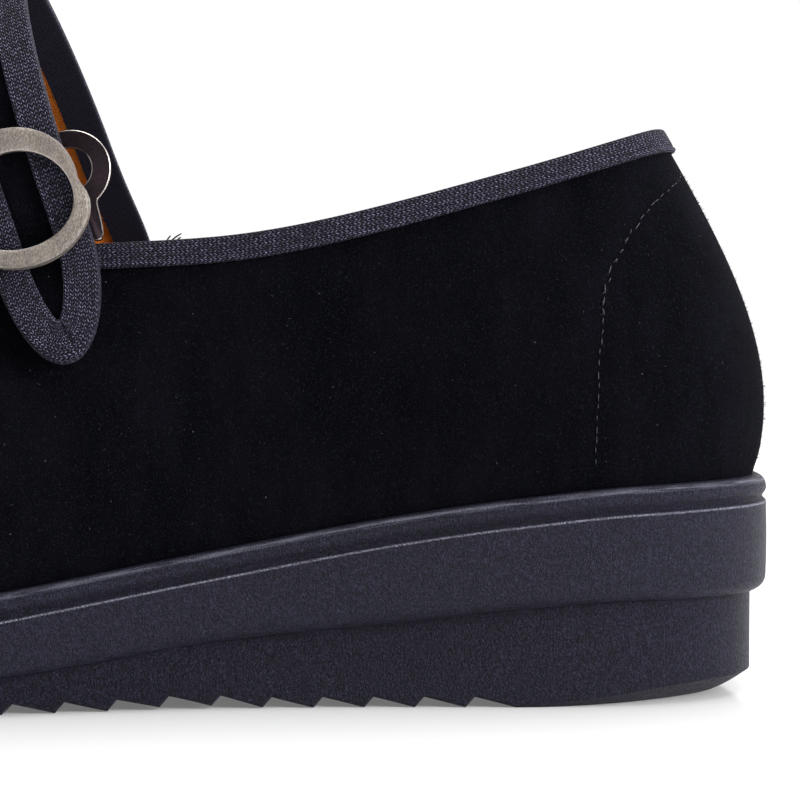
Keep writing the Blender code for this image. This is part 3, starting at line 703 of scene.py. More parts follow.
def velvet_finish():
    """Black velvet: short pile with a faint nap, pressed patches and pale lint."""
    f = Finish("velvet", (0.003, 0.003, 0.005), 0.95, specular=0.03)
    nap = f.noise(130.0, 4.0, 0.6, f.place((1.0, 1.0, 0.35)))
    pile = f.noise(3400.0, 2.0, 0.6)
    tone = f.times(f.ramp(nap, 0.35, 0.70), f.ramp(f.noise(38.0), 0.30, 0.75, 0.35, 1.0))
    base = f.mix(tone, (0.0010, 0.0011, 0.0021), (0.0032, 0.0033, 0.0055))
    base = f.mix(f.times(f.ramp(pile, 0.55, 0.80), 0.75), base, (0.015, 0.016, 0.021))
    lint = f.cells(330.0)
    chance = f.node("ShaderNodeSeparateColor", {0: lint["Color"]})[0]
    speck = f.sum("LESS_THAN", lint["Distance"], 0.045)
    rare = f.sum("GREATER_THAN", chance, 0.80)
    base = f.mix(f.times(f.times(speck, rare), 0.5), base, (0.10, 0.10, 0.12))
    f.put({
        "Base Color": base,
        "Sheen Weight": 0.010,
        "Sheen Roughness": 0.42,
        "Sheen Tint": (0.62, 0.64, 0.90, 1.0),
        "Normal": f.bump(pile, 0.00022, 0.9, f.bump(nap, 0.0006, 0.5)),
    })
    return f.material


def tape_finish(name, pitch, row, black_gap_shade, light):
    """Woven tape: rows of slanting yarns that lean the other way in every second row, with the yarns' crowns
    painted paler as a painted highlight and the gaps between them painted darker as painted shade.
    """
    f = Finish(name, light, 0.62, specular=0.14)
    along, across = f.cloth()
    level = f.sum("DIVIDE", across, row)
    number = f.sum("FLOOR", level)
    inside = f.sum("SUBTRACT", level, number)
    odd = f.sum("MODULO", f.sum("ABSOLUTE", number), 2.0)
    lean = f.sum("SUBTRACT", 1.0, f.times(odd, 2.0))
    shift = f.times(f.sum("SUBTRACT", f.noise(600.0), 0.5), 0.7)
    slant = f.times(f.times(lean, 0.80), inside)
    step = f.sum("ADD", f.sum("ADD", f.sum("DIVIDE", along, pitch), slant), shift)
    yarn = f.ramp(f.sum("SINE", f.times(step, math.tau)), -0.75, 1.0)
    round_off = f.sum("SINE", f.times(inside, math.pi))
    height = f.times(yarn, f.sum("POWER", round_off, 0.6))
    # Painted highlight on the yarns' crowns and painted shade in the gaps between yarns and rows: the colour
    # follows the yarn's height, varied at random.
    painted_crown_light = f.times(height, f.ramp(f.noise(2300.0), 0.36, 0.64, 0.40, 1.30))
    # Painted highlight along the tape's edge ridge: the crowns' painted light is made up to 1.8 times
    # stronger there.
    edge = f.ramp(across, 0.00080, 0.00120, 1.8, 1.0)
    base = f.mix(f.times(f.sum("POWER", painted_crown_light, 2.7), edge), black_gap_shade, light)
    base = f.mix(f.ramp(f.noise(55.0), 0.35, 0.70, 0.0, 0.30), base, black_gap_shade)
    f.put({
        "Base Color": base,
        "Roughness": f.ramp(height, 0.0, 1.0, 0.80, 0.50),
        "Sheen Weight": 0.015,
        "Sheen Roughness": 0.4,
        "Normal": f.bump(f.noise(5200.0), 0.00006, 0.8, f.bump(height, 0.00040)),
    })
    return f.material


def sole_finish(name, colour, grain, depth, roughness, paints_bead_light):
    """Moulded sole with a fine leather grain, with painted shade in the grain's creases and a painted
    highlight on its raised specks; when asked, also a painted highlight on the bead's crown and lip and
    painted shade in the channel between them.
    """
    f = Finish(name, colour, roughness, specular=0.15)
    # Painted shade colour, for the grain's creases and the bead's channel.
    darker = shaded(colour, 0.50)
    crease = f.ramp(f.cells(grain * 1.5, "DISTANCE_TO_EDGE")["Distance"], 0.0, 0.20)
    fine = f.noise(grain * 1.45, 4.0, 0.8)
    dots = f.noise(grain * 3.6, 2.0, 0.6)
    broad = f.noise(34.0, 3.0, 0.5, f.place((0.5, 1.0, 1.0)))
    grain_highlight = f.times(f.ramp(fine, 0.44, 0.68), f.ramp(dots, 0.36, 0.64, 0.20, 1.0))
    base = f.mix(f.ramp(broad, 0.35, 0.70), shaded(colour, 0.80), colour)
    # Painted shade: the grain's creases made darker.
    base = f.mix(f.ramp(crease, 0.0, 1.0, 0.55, 0.0), base, darker)
    # Painted highlight: the grain's raised specks made paler.
    base = f.mix(f.times(grain_highlight, 0.95), base, shaded(colour, 5.2))
    shine = f.ramp(fine, 0.30, 0.72, roughness + 0.12, roughness - 0.08)
    # Painted highlights on the bead's crown and lip, and painted shade in the channel between them.
    if paints_bead_light:
        along, drop = f.cloth()
        flat = f.node("ShaderNodeCombineXYZ", {0: f.times(along, 0.05), 1: drop})[0]
        streaks = f.noise(2600.0, 2.0, 0.6, flat)

        def near(level, full, none):
            """One at this drop below the sole's top, fading out above and below it."""
            return f.ramp(f.sum("ABSOLUTE", f.sum("SUBTRACT", drop, level)), full, none, 1.0, 0.0)

        # Painted highlight along the lip's edge, broken into specks.
        lip = f.times(near(0.00486, 0.00004, 0.00026), f.ramp(dots, 0.42, 0.58, 0.10, 1.0))
        # Painted highlight along the bead's crown, in streaks.
        crown = f.times(near(0.00070, 0.00005, 0.00060), f.ramp(streaks, 0.36, 0.62, 0.12, 1.0))
        # Painted shade in the channel below the bead.
        channel_shade = f.times(near(0.0036, 0.0003, 0.0011), f.ramp(streaks, 0.30, 0.70, 0.75, 0.15))
        base = f.mix(channel_shade, base, darker)
        # Painted highlight colour of the crown.
        base = f.mix(f.times(crown, 0.70), base, (0.215, 0.215, 0.275))
        # Painted highlight colour of the lip.
        base = f.mix(f.times(lip, 0.95), base, (0.300, 0.300, 0.370))
        shine = f.sum("SUBTRACT", shine, f.times(crown, 0.16))
    height = f.sum("ADD", f.times(crease, 0.35), fine)
    f.put({"Base Color": base, "Roughness": shine, "Normal": f.bump(height, depth)})
    return f.material


def cotton_finish(name, colour, shade):
    """Plain woven cotton."""
    f = Finish(name, colour, 0.88, specular=0.10)
    warp, weft = (f.sum("SINE", f.times(place, math.tau / COTTON_PITCH)) for place in f.cloth())
    height = f.times(warp, weft)
    slub = f.noise(700.0, 3.0)
    base = f.mix(f.ramp(height, -1.0, 1.0, 0.0, 0.6), shade, colour)
    base = f.mix(f.ramp(slub, 0.35, 0.75, 0.0, 0.5), base, shade)
    base = f.mix(f.ramp(f.noise(50.0), 0.40, 0.75, 0.0, 0.25), base, shade)
    f.put({"Base Color": base, "Normal": f.bump(f.sum("ADD", height, slub), 0.00008, 0.8)})
    return f.material


def metal_finish(name, colour, dull, roughness, scratch):
    """Stamped metal with a fine tooth, faint scratches and a few dull spots."""
    f = Finish(name, colour, roughness, 1.0)
    tooth = f.noise(4200.0)
    lines = f.noise(420.0, 3.0, 0.6, f.place((9.0, 1.0, 1.0)))
    satin = f.noise(3600.0, 2.0, 0.6, f.place((1.0, 1.0, 0.6)))
    spot = f.ramp(f.cells(520.0)["Distance"], 0.05, 0.16, 1.0, 0.0)
    base = f.mix(f.ramp(f.noise(240.0, 3.0), 0.35, 0.75, 0.0, 0.5), colour, dull)
    base = f.mix(f.times(spot, 0.55), base, dull)
    base = f.mix(f.ramp(satin, 0.38, 0.62, 0.70, 0.0), base, dull)
    height = f.sum("ADD", f.times(tooth, 0.7), f.times(lines, 0.5))
    f.put({
        "Base Color": base,
        "Roughness": f.ramp(tooth, 0.30, 0.70, roughness - 0.07, roughness + 0.10),
        "Normal": f.bump(height, scratch, 0.6),
    })
    return f.material


def thread_finish(name, colour):
    """Twisted sewing thread."""
    f = Finish(name, colour, 0.7, specular=0.3)
    twist = f.noise(4000.0)
    base = f.mix(f.ramp(twist, 0.35, 0.70), shaded(colour, 0.35), colour)
    f.put({"Base Color": base, "Normal": f.bump(twist, 0.00005, 0.7)})
    return f.material


def floor_finish():
    """Plain white board."""
    f = Finish("floor", (0.90, 0.90, 0.90), 0.13)
    f.put({
        "Base Color": f.mix(f.noise(3.0, 1.0), (0.89, 0.89, 0.89), (0.91, 0.91, 0.91)),
        "Emission Color": (1.0, 1.0, 1.0, 1.0),
        "Emission Strength": 0.15,
    })
    return f.material


# Sole


def even_stations(start, end, count):
    """Distances that come closer together round the heel and the toe."""
    share = (1.0 - np.cos(np.pi * np.arange(count + 1) / count)) / 2.0
    return start + (end - start) * share


def station_ring(inset, height, stations):
    """One ring round the sole, its points paired across the shoe. stations may be their number only."""
    outer, inner = inset_outline(inset)
    if isinstance(stations, int):
        stations = even_stations(outer[0][0], outer[-1][0], stations)
    held = np.clip(stations, outer[0][0], outer[-1][0])
    sides = [np.interp(held, half[:, 0], half[:, 1]) for half in (outer, inner)]
    there, back = (np.stack((held, side, height(stations)), 1) for side in sides)
    return np.concatenate((there, back[-2:0:-1]))


def stack_piece(name, rings, material, angle, drops=None):
    """A solid through rings, capped with strips across. Its marks are its plan, or run and drop."""
    levels = len(rings)
    count = len(rings[0])
    points = np.reshape(rings, (-1, 3))
    faces, corner_i, corner_j = grid_faces(levels, count, False)
    caps = []
    for base in (0, (levels - 1) * count):
        for i in range(count // 2):
            strip = (base + i, base + i + 1, base + (count - i - 1) % count, base + (count - i) % count)
            caps.append(list(dict.fromkeys(strip)))
    if drops is None:
        marks = [points[k][:2] for face in faces + caps for k in face]
    else:
        run = run_lengths(rings[-1], True)
        marks = [(run[j], drops[i]) for i, j in zip(corner_i, corner_j)]
        marks += [(run[k % count], drops[k // count]) for face in caps for k in face]
    return add_piece(name, points, faces + caps, material, marks, angle)


def build_midsole(material):
    """Upper band of the sole with its bead, groove and lip."""
    rows = []
    for turn in (1.0, 0.86, 0.70, 0.52, 0.34, 0.16, 0.0):
        angle = math.pi / 2.0 * turn
        inset = OUTSOLE_INSET * (1.0 - math.cos(angle))
        rows.append((inset, 0.0, CHAMFER_HEIGHT * (1.0 - math.sin(angle)), 0.0, UNDER_MARK))
    bead_foot = BEAD[-1].drop * BEAD_HEIGHT
    for share in (0.2, 0.4, 0.6, 0.8):
        inset = -BAND_BULGE * math.sin(math.pi * share)
        rows.append((inset, share, CHAMFER_HEIGHT, bead_foot, WALL_MARK))
    for row in reversed(BEAD):
        drop = row.drop * BEAD_HEIGHT
        rows.append((row.inset * BEAD_SEAT, 1.0, 0.0, drop, drop))
    rings = []
    for inset, share, low, high, mark in rows:
        rings.append(station_ring(
            inset,
            lambda x: (sole_step(x) + low) * (1.0 - share) + (sole_top(x) - high) * share,
            SOLE_STATIONS,
        ))
    return stack_piece("sole_upper_band", rings, material, 50.0, [row[-1] for row in rows])


def build_outsole(material):
    """Lower band of the sole with its sawtooth tread and lifted heel edge."""
    outer = inset_outline(OUTSOLE_INSET)[0]
    end = outer[-1][0]
    teeth = TREAD[:, 0]
    plain = even_stations(outer[0][0], end, SOLE_STATIONS)
    keep = [x for x in plain if np.abs(teeth - x).min() > TOOTH_PITCH / 12.0]
    stations = np.array(sorted(keep + [x for x in teeth if x < end - TOOTH_PITCH / 4.0]))

    def edge_height(x):
        return sole_bottom(x) + EDGE_BEVEL + HEEL_LIFT * heel_share(x)

    edge = station_ring(OUTSOLE_INSET, edge_height, stations)
    ahead = unit((np.roll(edge, -1, 0) - np.roll(edge, 1, 0))[:, :2])
    inward = np.stack((ahead[:, 1], -ahead[:, 0]), 1)
    around = np.concatenate((stations, stations[-2:0:-1]))
    bevel = EDGE_BEVEL + HEEL_BEVEL * heel_share(around)
    rings = []
    for share in (1.0, 0.8, 0.6, 0.4, 0.2):
        sag = (1.0 - share) ** 1.35
        height = sole_bottom(around) * (1.0 - sag) + edge[:, 2] * sag
        drawn = edge[:, :2] + inward * (bevel * share)[:, None]
        rings.append(np.column_stack((drawn, height)))
    rings.append(edge)
    top = station_ring(OUTSOLE_INSET, lambda x: sole_step(x) - BAND_GAP, stations)
    for share in (0.06, 0.3, 0.6, 0.94, 1.0):
        rings.append(edge * (1.0 - share) + top * share)
    return stack_piece("sole_lower_band", rings, material, 38.0)


def build_footbed(material):
    """Sock on the floor of the shoe, a little hollow and with a rolled edge."""
    rise = CLEARANCE + INSOLE_THICKNESS
    rings = []
    for extra, lift in ((0.0, CLEARANCE), (0.0, rise - 0.0006), (0.0003, rise - 0.0002), (0.0009, rise)):
        inset = BEAD_SEAT + WALL + INSOLE_EASE + extra
        rings.append(station_ring(inset, lambda x: sole_top(x) + lift, SOLE_STATIONS // 2))
    rim = rings[-1]
    middle = (rim + np.roll(rim[::-1], 1, 0)) / 2.0
    for share in (0.15, 0.35, 0.6, 0.85):
        ring = rim * (1.0 - share) + middle * share
        ring[:, 2] -= INSOLE_HOLLOW * math.sin(math.pi / 2.0 * share)
        for end in (0, len(rim) // 2):
            ring[end] = rim[end]
        rings.append(ring)
    return stack_piece("footbed", rings, material, 50.0)


# Upper


def build_upper(velvet, cotton):
    """Velvet outside and cotton lining inside, both following the last with its soft folds."""
    places = COUNT * np.arange(AROUND_STEPS) / AROUND_STEPS
    column = places[:, None]
    edge = wall_below(places, COLLAR_TAPE_REACH)[:, None]
    low = edge * np.linspace(0.0, 1.0, WALL_ROWS)
    high = edge + (1.0 - edge) * np.array((0.35, 0.7, 1.0))
    shares = np.concatenate((low, high), 1)
    face = wall_grid(places, shares)
    normal = wall_normals(places, shares)
    fade = np.clip((edge - shares) / 0.10, 0.0, 1.0) * np.clip(shares / 0.08, 0.0, 1.0)
    pucker = PUCKER_DEPTH * np.sin(column * PUCKER_WAVES) * hump(shares, 0.03, 0.05)
    hem = HEM_DEPTH * hump(shares, 0.0, 0.045)
    moved = folds(column, shares) * fade + pucker * fade - seam_dent(column, shares) * fade - hem * 0.4
    moved = moved[..., None]
    outer = face + normal * moved
    inner = face + normal * (np.minimum(moved, 0.0002) - VELVET)
    for sheet in (outer, inner):
        sheet[:, 0, 2] -= CLEARANCE
    raised = np.maximum(shares, LINING_START)
    face = wall_grid(places, raised)
    normal = wall_normals(places, raised)
    lining = face + normal * (np.minimum(moved, 0.0) - VELVET - LINING_GAP)
    back = face - normal * WALL
    along = run_lengths(wall_grid(places, np.array((0.5,)))[:, 0], True)
    up = run_lengths(face[0], False)
    return (
        shell_piece("velvet_upper", outer, inner, True, along, up, velvet),
        shell_piece("cotton_lining", lining, back, True, along, up, cotton),
    )


def seam_dent(places, shares):
    """How deep the wall is drawn in beside the counter's seam, on both sides of the heel."""
    places, shares = np.broadcast_arrays(places, shares)
    from_back = np.minimum(places, COUNT - places)
    near = from_back < SEAM_ROWS
    best = np.full(from_back[near].shape, 1.0)
    for around, up in SEAM_LINE[::4]:
        aside = (from_back[near] - around) * ROW_LENGTH
        best = np.minimum(best, np.hypot(aside, (shares[near] - up) * WALL_LENGTH))
    dent = np.zeros(places.shape)
    dent[near] = SEAM_DEPTH * hump(best, 0.0, SEAM_REACH)
    return dent


def read_line(line, run, at):
    """Points of a line at the given lengths run."""
    return np.stack([np.interp(at, run, line[:, k]) for k in range(line.shape[1])], -1)


def tube(points, radius, sides=6, pinch=0.35):
    """Points and faces of a thin round piece along a short line, with narrowed ends."""
    count = len(points)
    ahead = unit(np.gradient(points, axis=0))
    aside = unit(np.cross(ahead, TUBE_SIDE))
    third = np.cross(ahead, aside)
    turns = (math.tau * np.arange(sides) / sides)[None, :, None]
    width = radius * (pinch + (1.0 - pinch) * np.sin(np.pi * np.linspace(0.0, 1.0, count)) ** 0.5)
    ring = aside[:, None] * np.cos(turns) + third[:, None] * np.sin(turns)
    body = points[:, None] + ring * width[:, None, None]
    faces = grid_faces(count, sides, False)[0]
    faces.append(list(range(sides))[::-1])
    faces.append([(count - 1) * sides + k for k in range(sides)])
    return body.reshape(-1, 3), faces


def join_tubes(name, tubes, material):
    """One piece from many thin tubes."""
    points = []
    faces = []
    start = 0
    for body, sides in tubes:
        points.append(body)
        faces += [[start + k for k in face] for face in sides]
        start += len(body)
    return add_piece(name, np.concatenate(points), faces, material, None, 60.0)


def build_seam_stitches(material, random):
    """Pale stitches of the counter seam, half sunk in the pile, on both sides of the heel."""
    tubes = []
    shares = SEAM_LINE[:, 1:]
    for places in (SEAM_LINE[:, 0], COUNT - SEAM_LINE[:, 0]):
        line = wall_grid(places, shares)[:, 0]
        normal = wall_normals(places, shares)[:, 0]
        run = run_lengths(line, False)
        at = STITCH_START
        while at < run[-1] - STITCH_END:
            loose = hump(at / run[-1], 0.45, 0.22)
            length = STITCH_LENGTH + STITCH_LENGTH_SPREAD * random.random()
            steps = at + np.linspace(0.0, 1.0, 6) * length
            middle = read_line(line, run, steps)
            out = read_line(normal, run, steps)
            sunk = -0.00024 + 0.00014 * random.random() - 0.00012 * (at / run[-1]) ** 3
            arch = 0.00016 * np.sin(np.pi * np.linspace(0.0, 1.0, 6))
            drift = (random.random(3) - 0.5) * (0.0002 + 0.0004 * loose)
            turn = np.linspace(-0.5, 0.5, 6)[:, None] * (random.random(3) - 0.5) * 0.0009 * loose
            stitch = middle + out * (sunk + arch)[:, None] + drift + turn
            tubes.append(tube(stitch, STITCH_RADIUS + HAIR_RADIUS * loose))
            for i in range(int(2.6 * loose * random.random())):
                tuft = (random.random(3) - 0.5) * TUFT_LENGTH
                start = middle[3] + out[3] * 0.00005 + drift + (random.random(3) - 0.5) * 0.0006
                tubes.append(tube(start + np.linspace(0.0, 1.0, 4)[:, None] * tuft, HAIR_RADIUS, 4))
            at += STITCH_PITCH + STITCH_PITCH_SPREAD * random.random()
    return join_tubes("counter_stitches", tubes, material)


def scatter(random, count, low, high):
    """Random spots on the upper's outer face, with the direction out of it and one along it."""
    places = random.random(count) * COUNT
    shares = (low + (high - low) * random.random(count))[:, None]
    points = wall_grid(places, shares)[:, 0]
    out = wall_normals(places, shares)[:, 0]
    return zip(points, out, unit(np.cross(out, random.random((count, 3)) - 0.5)))


def build_lint(material, random):
    """Fine pale fibres caught in the pile."""
    tubes = []
    t = np.linspace(-0.5, 0.5, 4)[:, None]
    for point, out, aside in scatter(random, LINT_COUNT, 0.06, 0.84):
        length = 0.00012 + 0.00060 * random.random() ** 6
        curl = (random.random() - 0.5) * 1.6
        line = point + out * 0.00012 + aside * (t * length) + np.cross(out, aside) * (curl * length * (t * t))
        tubes.append(tube(line, 0.000026 + 0.000020 * random.random(), 3, 0.6))
    return join_tubes("lint", tubes, material)


def build_pile(material, random):
    """Single hairs of the pile that stand out and soften the outline."""
    tubes = []
    t = np.array((0.0, 0.6, 1.0))[:, None]
    for point, out, aside in scatter(random, PILE_COUNT, 0.03, 0.90):
        length = 0.00018 + 0.00022 * random.random()
        lean = 0.9 * random.random()
        line = point - out * PILE_ROOT + out * (t * (length + PILE_ROOT)) + aside * (lean * length * t * t)
        tubes.append(tube(line, HAIR_RADIUS, 3, 0.5))
    return join_tubes("pile", tubes, material)


def build_collar_tape(material):
    """Woven tape folded over the collar, with a firmer edge along its lower side."""
    places = COUNT * np.arange(TAPE_STEPS) / TAPE_STEPS
    depths = COLLAR_TAPE_REACH * np.linspace(1.0, 0.0, TAPE_DEPTH_STEPS)
    shares = wall_below(places, depths)
    face = wall_grid(places, shares)
    normal = wall_normals(places, shares)
    rim = face[:, -1:]
    rim_out = normal[:, -1:]
    above = unit(rim - face[:, :1])
    profile = depths / COLLAR_TAPE_REACH
    ridge = EDGE_RIDGE * hump(profile, 0.90, 0.07) - EDGE_GROOVE * hump(profile, 0.74, 0.06)
    edge_in = np.where(profile > 0.985, -0.00025, 0.0)
    outside = face + normal * (TAPE_FAR + ridge + edge_in)[:, None]
    turns = np.linspace(0.0, math.pi, 13)[1:-1]
    cosine = np.sign(np.cos(turns)) * np.abs(np.cos(turns)) ** COLLAR_FOLD_POWER
    sine = np.abs(np.sin(turns)) ** COLLAR_FOLD_POWER
    crown = rim - rim_out * (WALL / 2.0) + rim_out * (cosine * (WALL / 2.0 + TAPE_FAR))[:, None]
    crown = crown + above * (sine * TAPE_FAR)[:, None]
    inside = (face - normal * (WALL + TAPE_FAR))[:, ::-1]
    back = face - normal * (WALL + TAPE_NEAR)
    front = (face + normal * TAPE_NEAR)[:, ::-1]
    bridge = [rim + rim_out * out + above * TAPE_NEAR for out in (-(WALL + TAPE_NEAR), TAPE_NEAR)]
    sections = np.concatenate((outside, crown, inside, back[:, :-1], *bridge, front[:, 1:]), 1)
    along = run_lengths(rim[:, 0], True)
    return sweep_piece("collar_tape", sections, True, along, run_lengths(sections[0], True), material)


# Strap


def wall_spot(place, depth):
    """Point and outward direction of the wall a given length below the collar at one place."""
    places = np.array((place,))
    share = wall_below(places, np.array((depth,)))
    return wall_grid(places, share)[0, 0], wall_normals(places, share)[0, 0]


def strap_rows():
    """Rows of the strap's middle line: each its place and the direction of its width."""
    lap = []
    for share in (1.0, 0.5, 0.0):
        point, normal = wall_spot(OUTER_STRAP_ROW - STRAP_BACK + LAP_TURN * share, STRAP_LAP * share)
        stand = STRAP_HALF_STACK + CLEARANCE + LAP_EASE + TAPE_FAR * (1.0 - share * LAP_SINK)
        lap.append((point + normal * stand, normal))
    root = []
    span = SECTIONS[INNER_STRAP_ROW].collar_along - SECTIONS[INNER_WAIST_ROW].collar_along
    place = INNER_STRAP_ROW + STRAP_SKEW / (span * SHOE_LENGTH)
    for share in (0.0, 1.0):
        point, normal = wall_spot(place, ROOT_DEPTH * share)
        root.append(point - normal * (WALL + TAPE_FAR + CLEARANCE + ROOT_EASE + STRAP_HALF_STACK))
    outer = lap[-1][0]
    inner = root[0]
    rows = []
    for i, (point, normal) in enumerate(lap):
        upward = lap[min(i + 1, 2)][0] - lap[max(i - 1, 0)][0]
        rows.append((*point, *unit(np.cross(normal, upward))))
    width = unit(np.array((1.0, 0.0, -STRAP_LEAN)))
    for row in ARCH:
        rise = row.rise * STRAP_ARCH
        y = (outer[1] + inner[1]) / 2.0 + row.across * (outer[1] - inner[1]) / 2.0
        x = outer[0] + STRAP_LEAN * rise - STRAP_SKEW * (1.0 - row.across) / 2.0
        level = outer[2] + (inner[2] - outer[2]) * (1.0 - row.across) / 2.0
        rows.append((x, y, level + rise, *width))
    return rows + [(*point, *width) for point in root]


STRAP_ROWS = strap_rows()
STRAP_SPANS = len(STRAP_ROWS) - 1
STRAP_LINE = spline(STRAP_ROWS, False)(np.linspace(0.0, STRAP_SPANS, 120 * STRAP_SPANS + 1))
STRAP_RUN = run_lengths(STRAP_LINE[:, :3], False)
STRAP_LENGTH = float(STRAP_RUN[-1])


def strap_points(s, w, h):
    """Points by length along the strap, distance to the toe side and height outward."""
    s, w, h = np.broadcast_arrays(s, w, h)
    held = np.clip(s, 0.0, STRAP_LENGTH)
    behind = np.maximum(held - STRAP_REACH, 0.0)
    beyond = np.minimum(held + STRAP_REACH, STRAP_LENGTH)
    middles, widths = STRAP_LINE[:, :3], STRAP_LINE[:, 3:]
    ahead = unit(read_line(middles, STRAP_RUN, beyond) - read_line(middles, STRAP_RUN, behind))
    width = read_line(widths, STRAP_RUN, held)
    width = unit(width - ahead * (width * ahead).sum(-1, keepdims=True))
    normal = np.cross(ahead, width)
    middle = read_line(middles, STRAP_RUN, held) + ahead * (s - held)[..., None]
    return middle + width * w[..., None] + normal * h[..., None]


def strap_edges(s):
    """Half widths of the strap's core to the toe side and to the heel side."""
    half = STRAP_WIDTH / 2.0 - CLEARANCE - TAPE
    toward = np.clip(1.0 - (s - TAPE_FAR) / STRAP_TIP, 0.0, 1.0)
    narrow = np.sqrt(1.0 - toward * toward)
    flare = np.maximum(0.0, 1.0 - (STRAP_LENGTH - s) / ROOT_FLARE_LENGTH)
    return half * narrow, half * narrow + ROOT_FLARE * flare * flare


def strap_stations():
    """Lengths run at which the strap has a section, close together round its tip."""
    turns = math.pi / 2.0 * (np.arange(TIP_STEPS) + 1.0) / (TIP_STEPS + 1.0)
    tip = TAPE_FAR + STRAP_TIP * (1.0 - np.cos(turns))
    body = TAPE_FAR + STRAP_TIP
    steps = int(round((STRAP_LENGTH - body) / STRAP_STEP))
    return np.concatenate((tip, body + (STRAP_LENGTH - body) * np.arange(steps + 1) / steps))


def build_strap(velvet, cotton):
    """Velvet face and cotton back of the strap."""
    stations = strap_stations()
    toe_side, heel_side = strap_edges(stations)
    shares = np.linspace(0.0, 1.0, STRAP_COLUMNS)
    w = toe_side[:, None] * (1.0 - shares) - heel_side[:, None] * shares
    up = np.linspace(0.0, STRAP_WIDTH, STRAP_COLUMNS)
    half = STRAP_CORE / 2.0
    pieces = []
    for name, low, high, material in (
        ("strap_velvet", STRAP_GAP, half + STRAP_BULGE * np.sin(np.pi * shares), velvet),
        ("strap_lining", -half, -STRAP_GAP, cotton),
    ):
        outer, inner = (strap_points(stations[:, None], w, h) for h in (high, low))
        pieces.append(shell_piece(name, outer, inner, False, stations, up, material))
    return pieces


def drawn_in(route, ahead, leg):
    """The strap's outline drawn in by a leg of its tape, the two sides kept apart at the tip."""
    edge = np.stack((route[:, 0] + ahead[:, 1] * leg, route[:, 1] - ahead[:, 0] * leg), 1)
    clear = edge[:, 1] * np.sign(route[:, 1]) > CLEARANCE
    apex = edge[clear, 0].min()
    narrowest = np.abs(route[clear, 1]).min()
    edge[~clear, 0] = apex
    edge[~clear, 1] = CLEARANCE * route[~clear, 1] / narrowest
    return edge


def build_strap_tape(material, back_shade_material):
    """Woven tape folded over the strap's edge, up one side, round the tip and down the other, its back side
    given a darker cloth as painted shade.
    """
    stations = strap_stations()
    toe_side, heel_side = strap_edges(stations)
    there = np.stack((stations[::-1], -heel_side[::-1]), 1)
    route = np.concatenate((there, np.stack((stations, toe_side), 1)))
    ahead = unit(np.concatenate((route[1:2] - route[:1], route[2:] - route[:-2], route[-1:] - route[-2:-1])))
    inner = STRAP_CORE / 2.0 + TAPE_NEAR
    outer = STRAP_HALF_STACK
    face_edge = drawn_in(route, ahead, STRAP_TAPE_WIDTH - TAPE_FAR)
    back_edge = drawn_in(route, ahead, STRAP_FOLD_WIDTH - TAPE_FAR)

    def moved_out(e):
        return np.stack((route[:, 0] - ahead[:, 1] * e, route[:, 1] + ahead[:, 0] * e), 1)

    seat = moved_out(CLEARANCE)
    near = moved_out(TAPE_NEAR)
    length = run_lengths(route, False)
    crease = np.zeros(len(route))
    for shift, depth, width in TIP_CREASES:
        crease += depth * hump(length - length[-1] / 2.0, shift, width)
    rows = []
    for share in (0.0, 0.03, 0.10, 0.2, 0.32, 0.44, 0.56, 0.68, 0.80, 0.91, 1.0):
        lift = EDGE_RIDGE * hump(share, 0.10, 0.07) - TAPE_EDGE_IN * (share < 0.01)
        flat = face_edge * (1.0 - share) + seat * share
        rows.append((flat, outer + lift + crease * math.sin(math.pi * share)))
    for turn in np.linspace(math.pi / 2.0, -math.pi / 2.0, 11)[1:-1]:
        e = CLEARANCE + TAPE * abs(math.cos(turn)) ** STRAP_FOLD_POWER
        h = outer * math.copysign(abs(math.sin(turn)) ** STRAP_FOLD_POWER, math.sin(turn))
        rows.append((moved_out(e), h))
    for share in (1.0, 0.85, 0.7, 0.55, 0.4, 0.25, 0.1, 0.0):
        rows.append((back_edge * (1.0 - share) + seat * share, -outer))
    rows += [(back_edge, -inner), (near, -inner), (near, inner), (face_edge, inner)]
    sections = np.stack([strap_points(flat[:, 0], flat[:, 1], h) for flat, h in rows], 1)
    along = run_lengths(strap_points(route[:, 0], route[:, 1], 0.0), False)
    piece = sweep_piece("strap_tape", sections, False, along, run_lengths(sections[40], True), material)

    def folded(columns):
        return columns[0] >= FOLD_FIRST_COLUMN and columns[-1] <= FOLD_LAST_COLUMN

    # The back side gets the darker cloth: painted shade.
    return second_material(piece, back_shade_material, len(rows), folded)


# Buckle


def ring_notch(turns):
    """How much nearer the ring's outer edge runs to its middle, at the dent on the heel side."""
    return np.interp(np.degrees(turns) % 360.0, [row[0] for row in NOTCH], [row[1] for row in NOTCH])


def stamped_piece(name, columns, material, rim_material, bright):
    """A metal piece through columns placed on the strap, with a painted highlight on its cut edges."""
    sections = np.stack([strap_points(s, w, h) for s, w, h in columns], 1)
    run = run_lengths(sections[:, 0], True)
    piece = sweep_piece(name, sections, True, run, run_lengths(sections[0], True), material, 35.0)
    return second_material(piece, rim_material, len(columns), lambda found: found in bright)


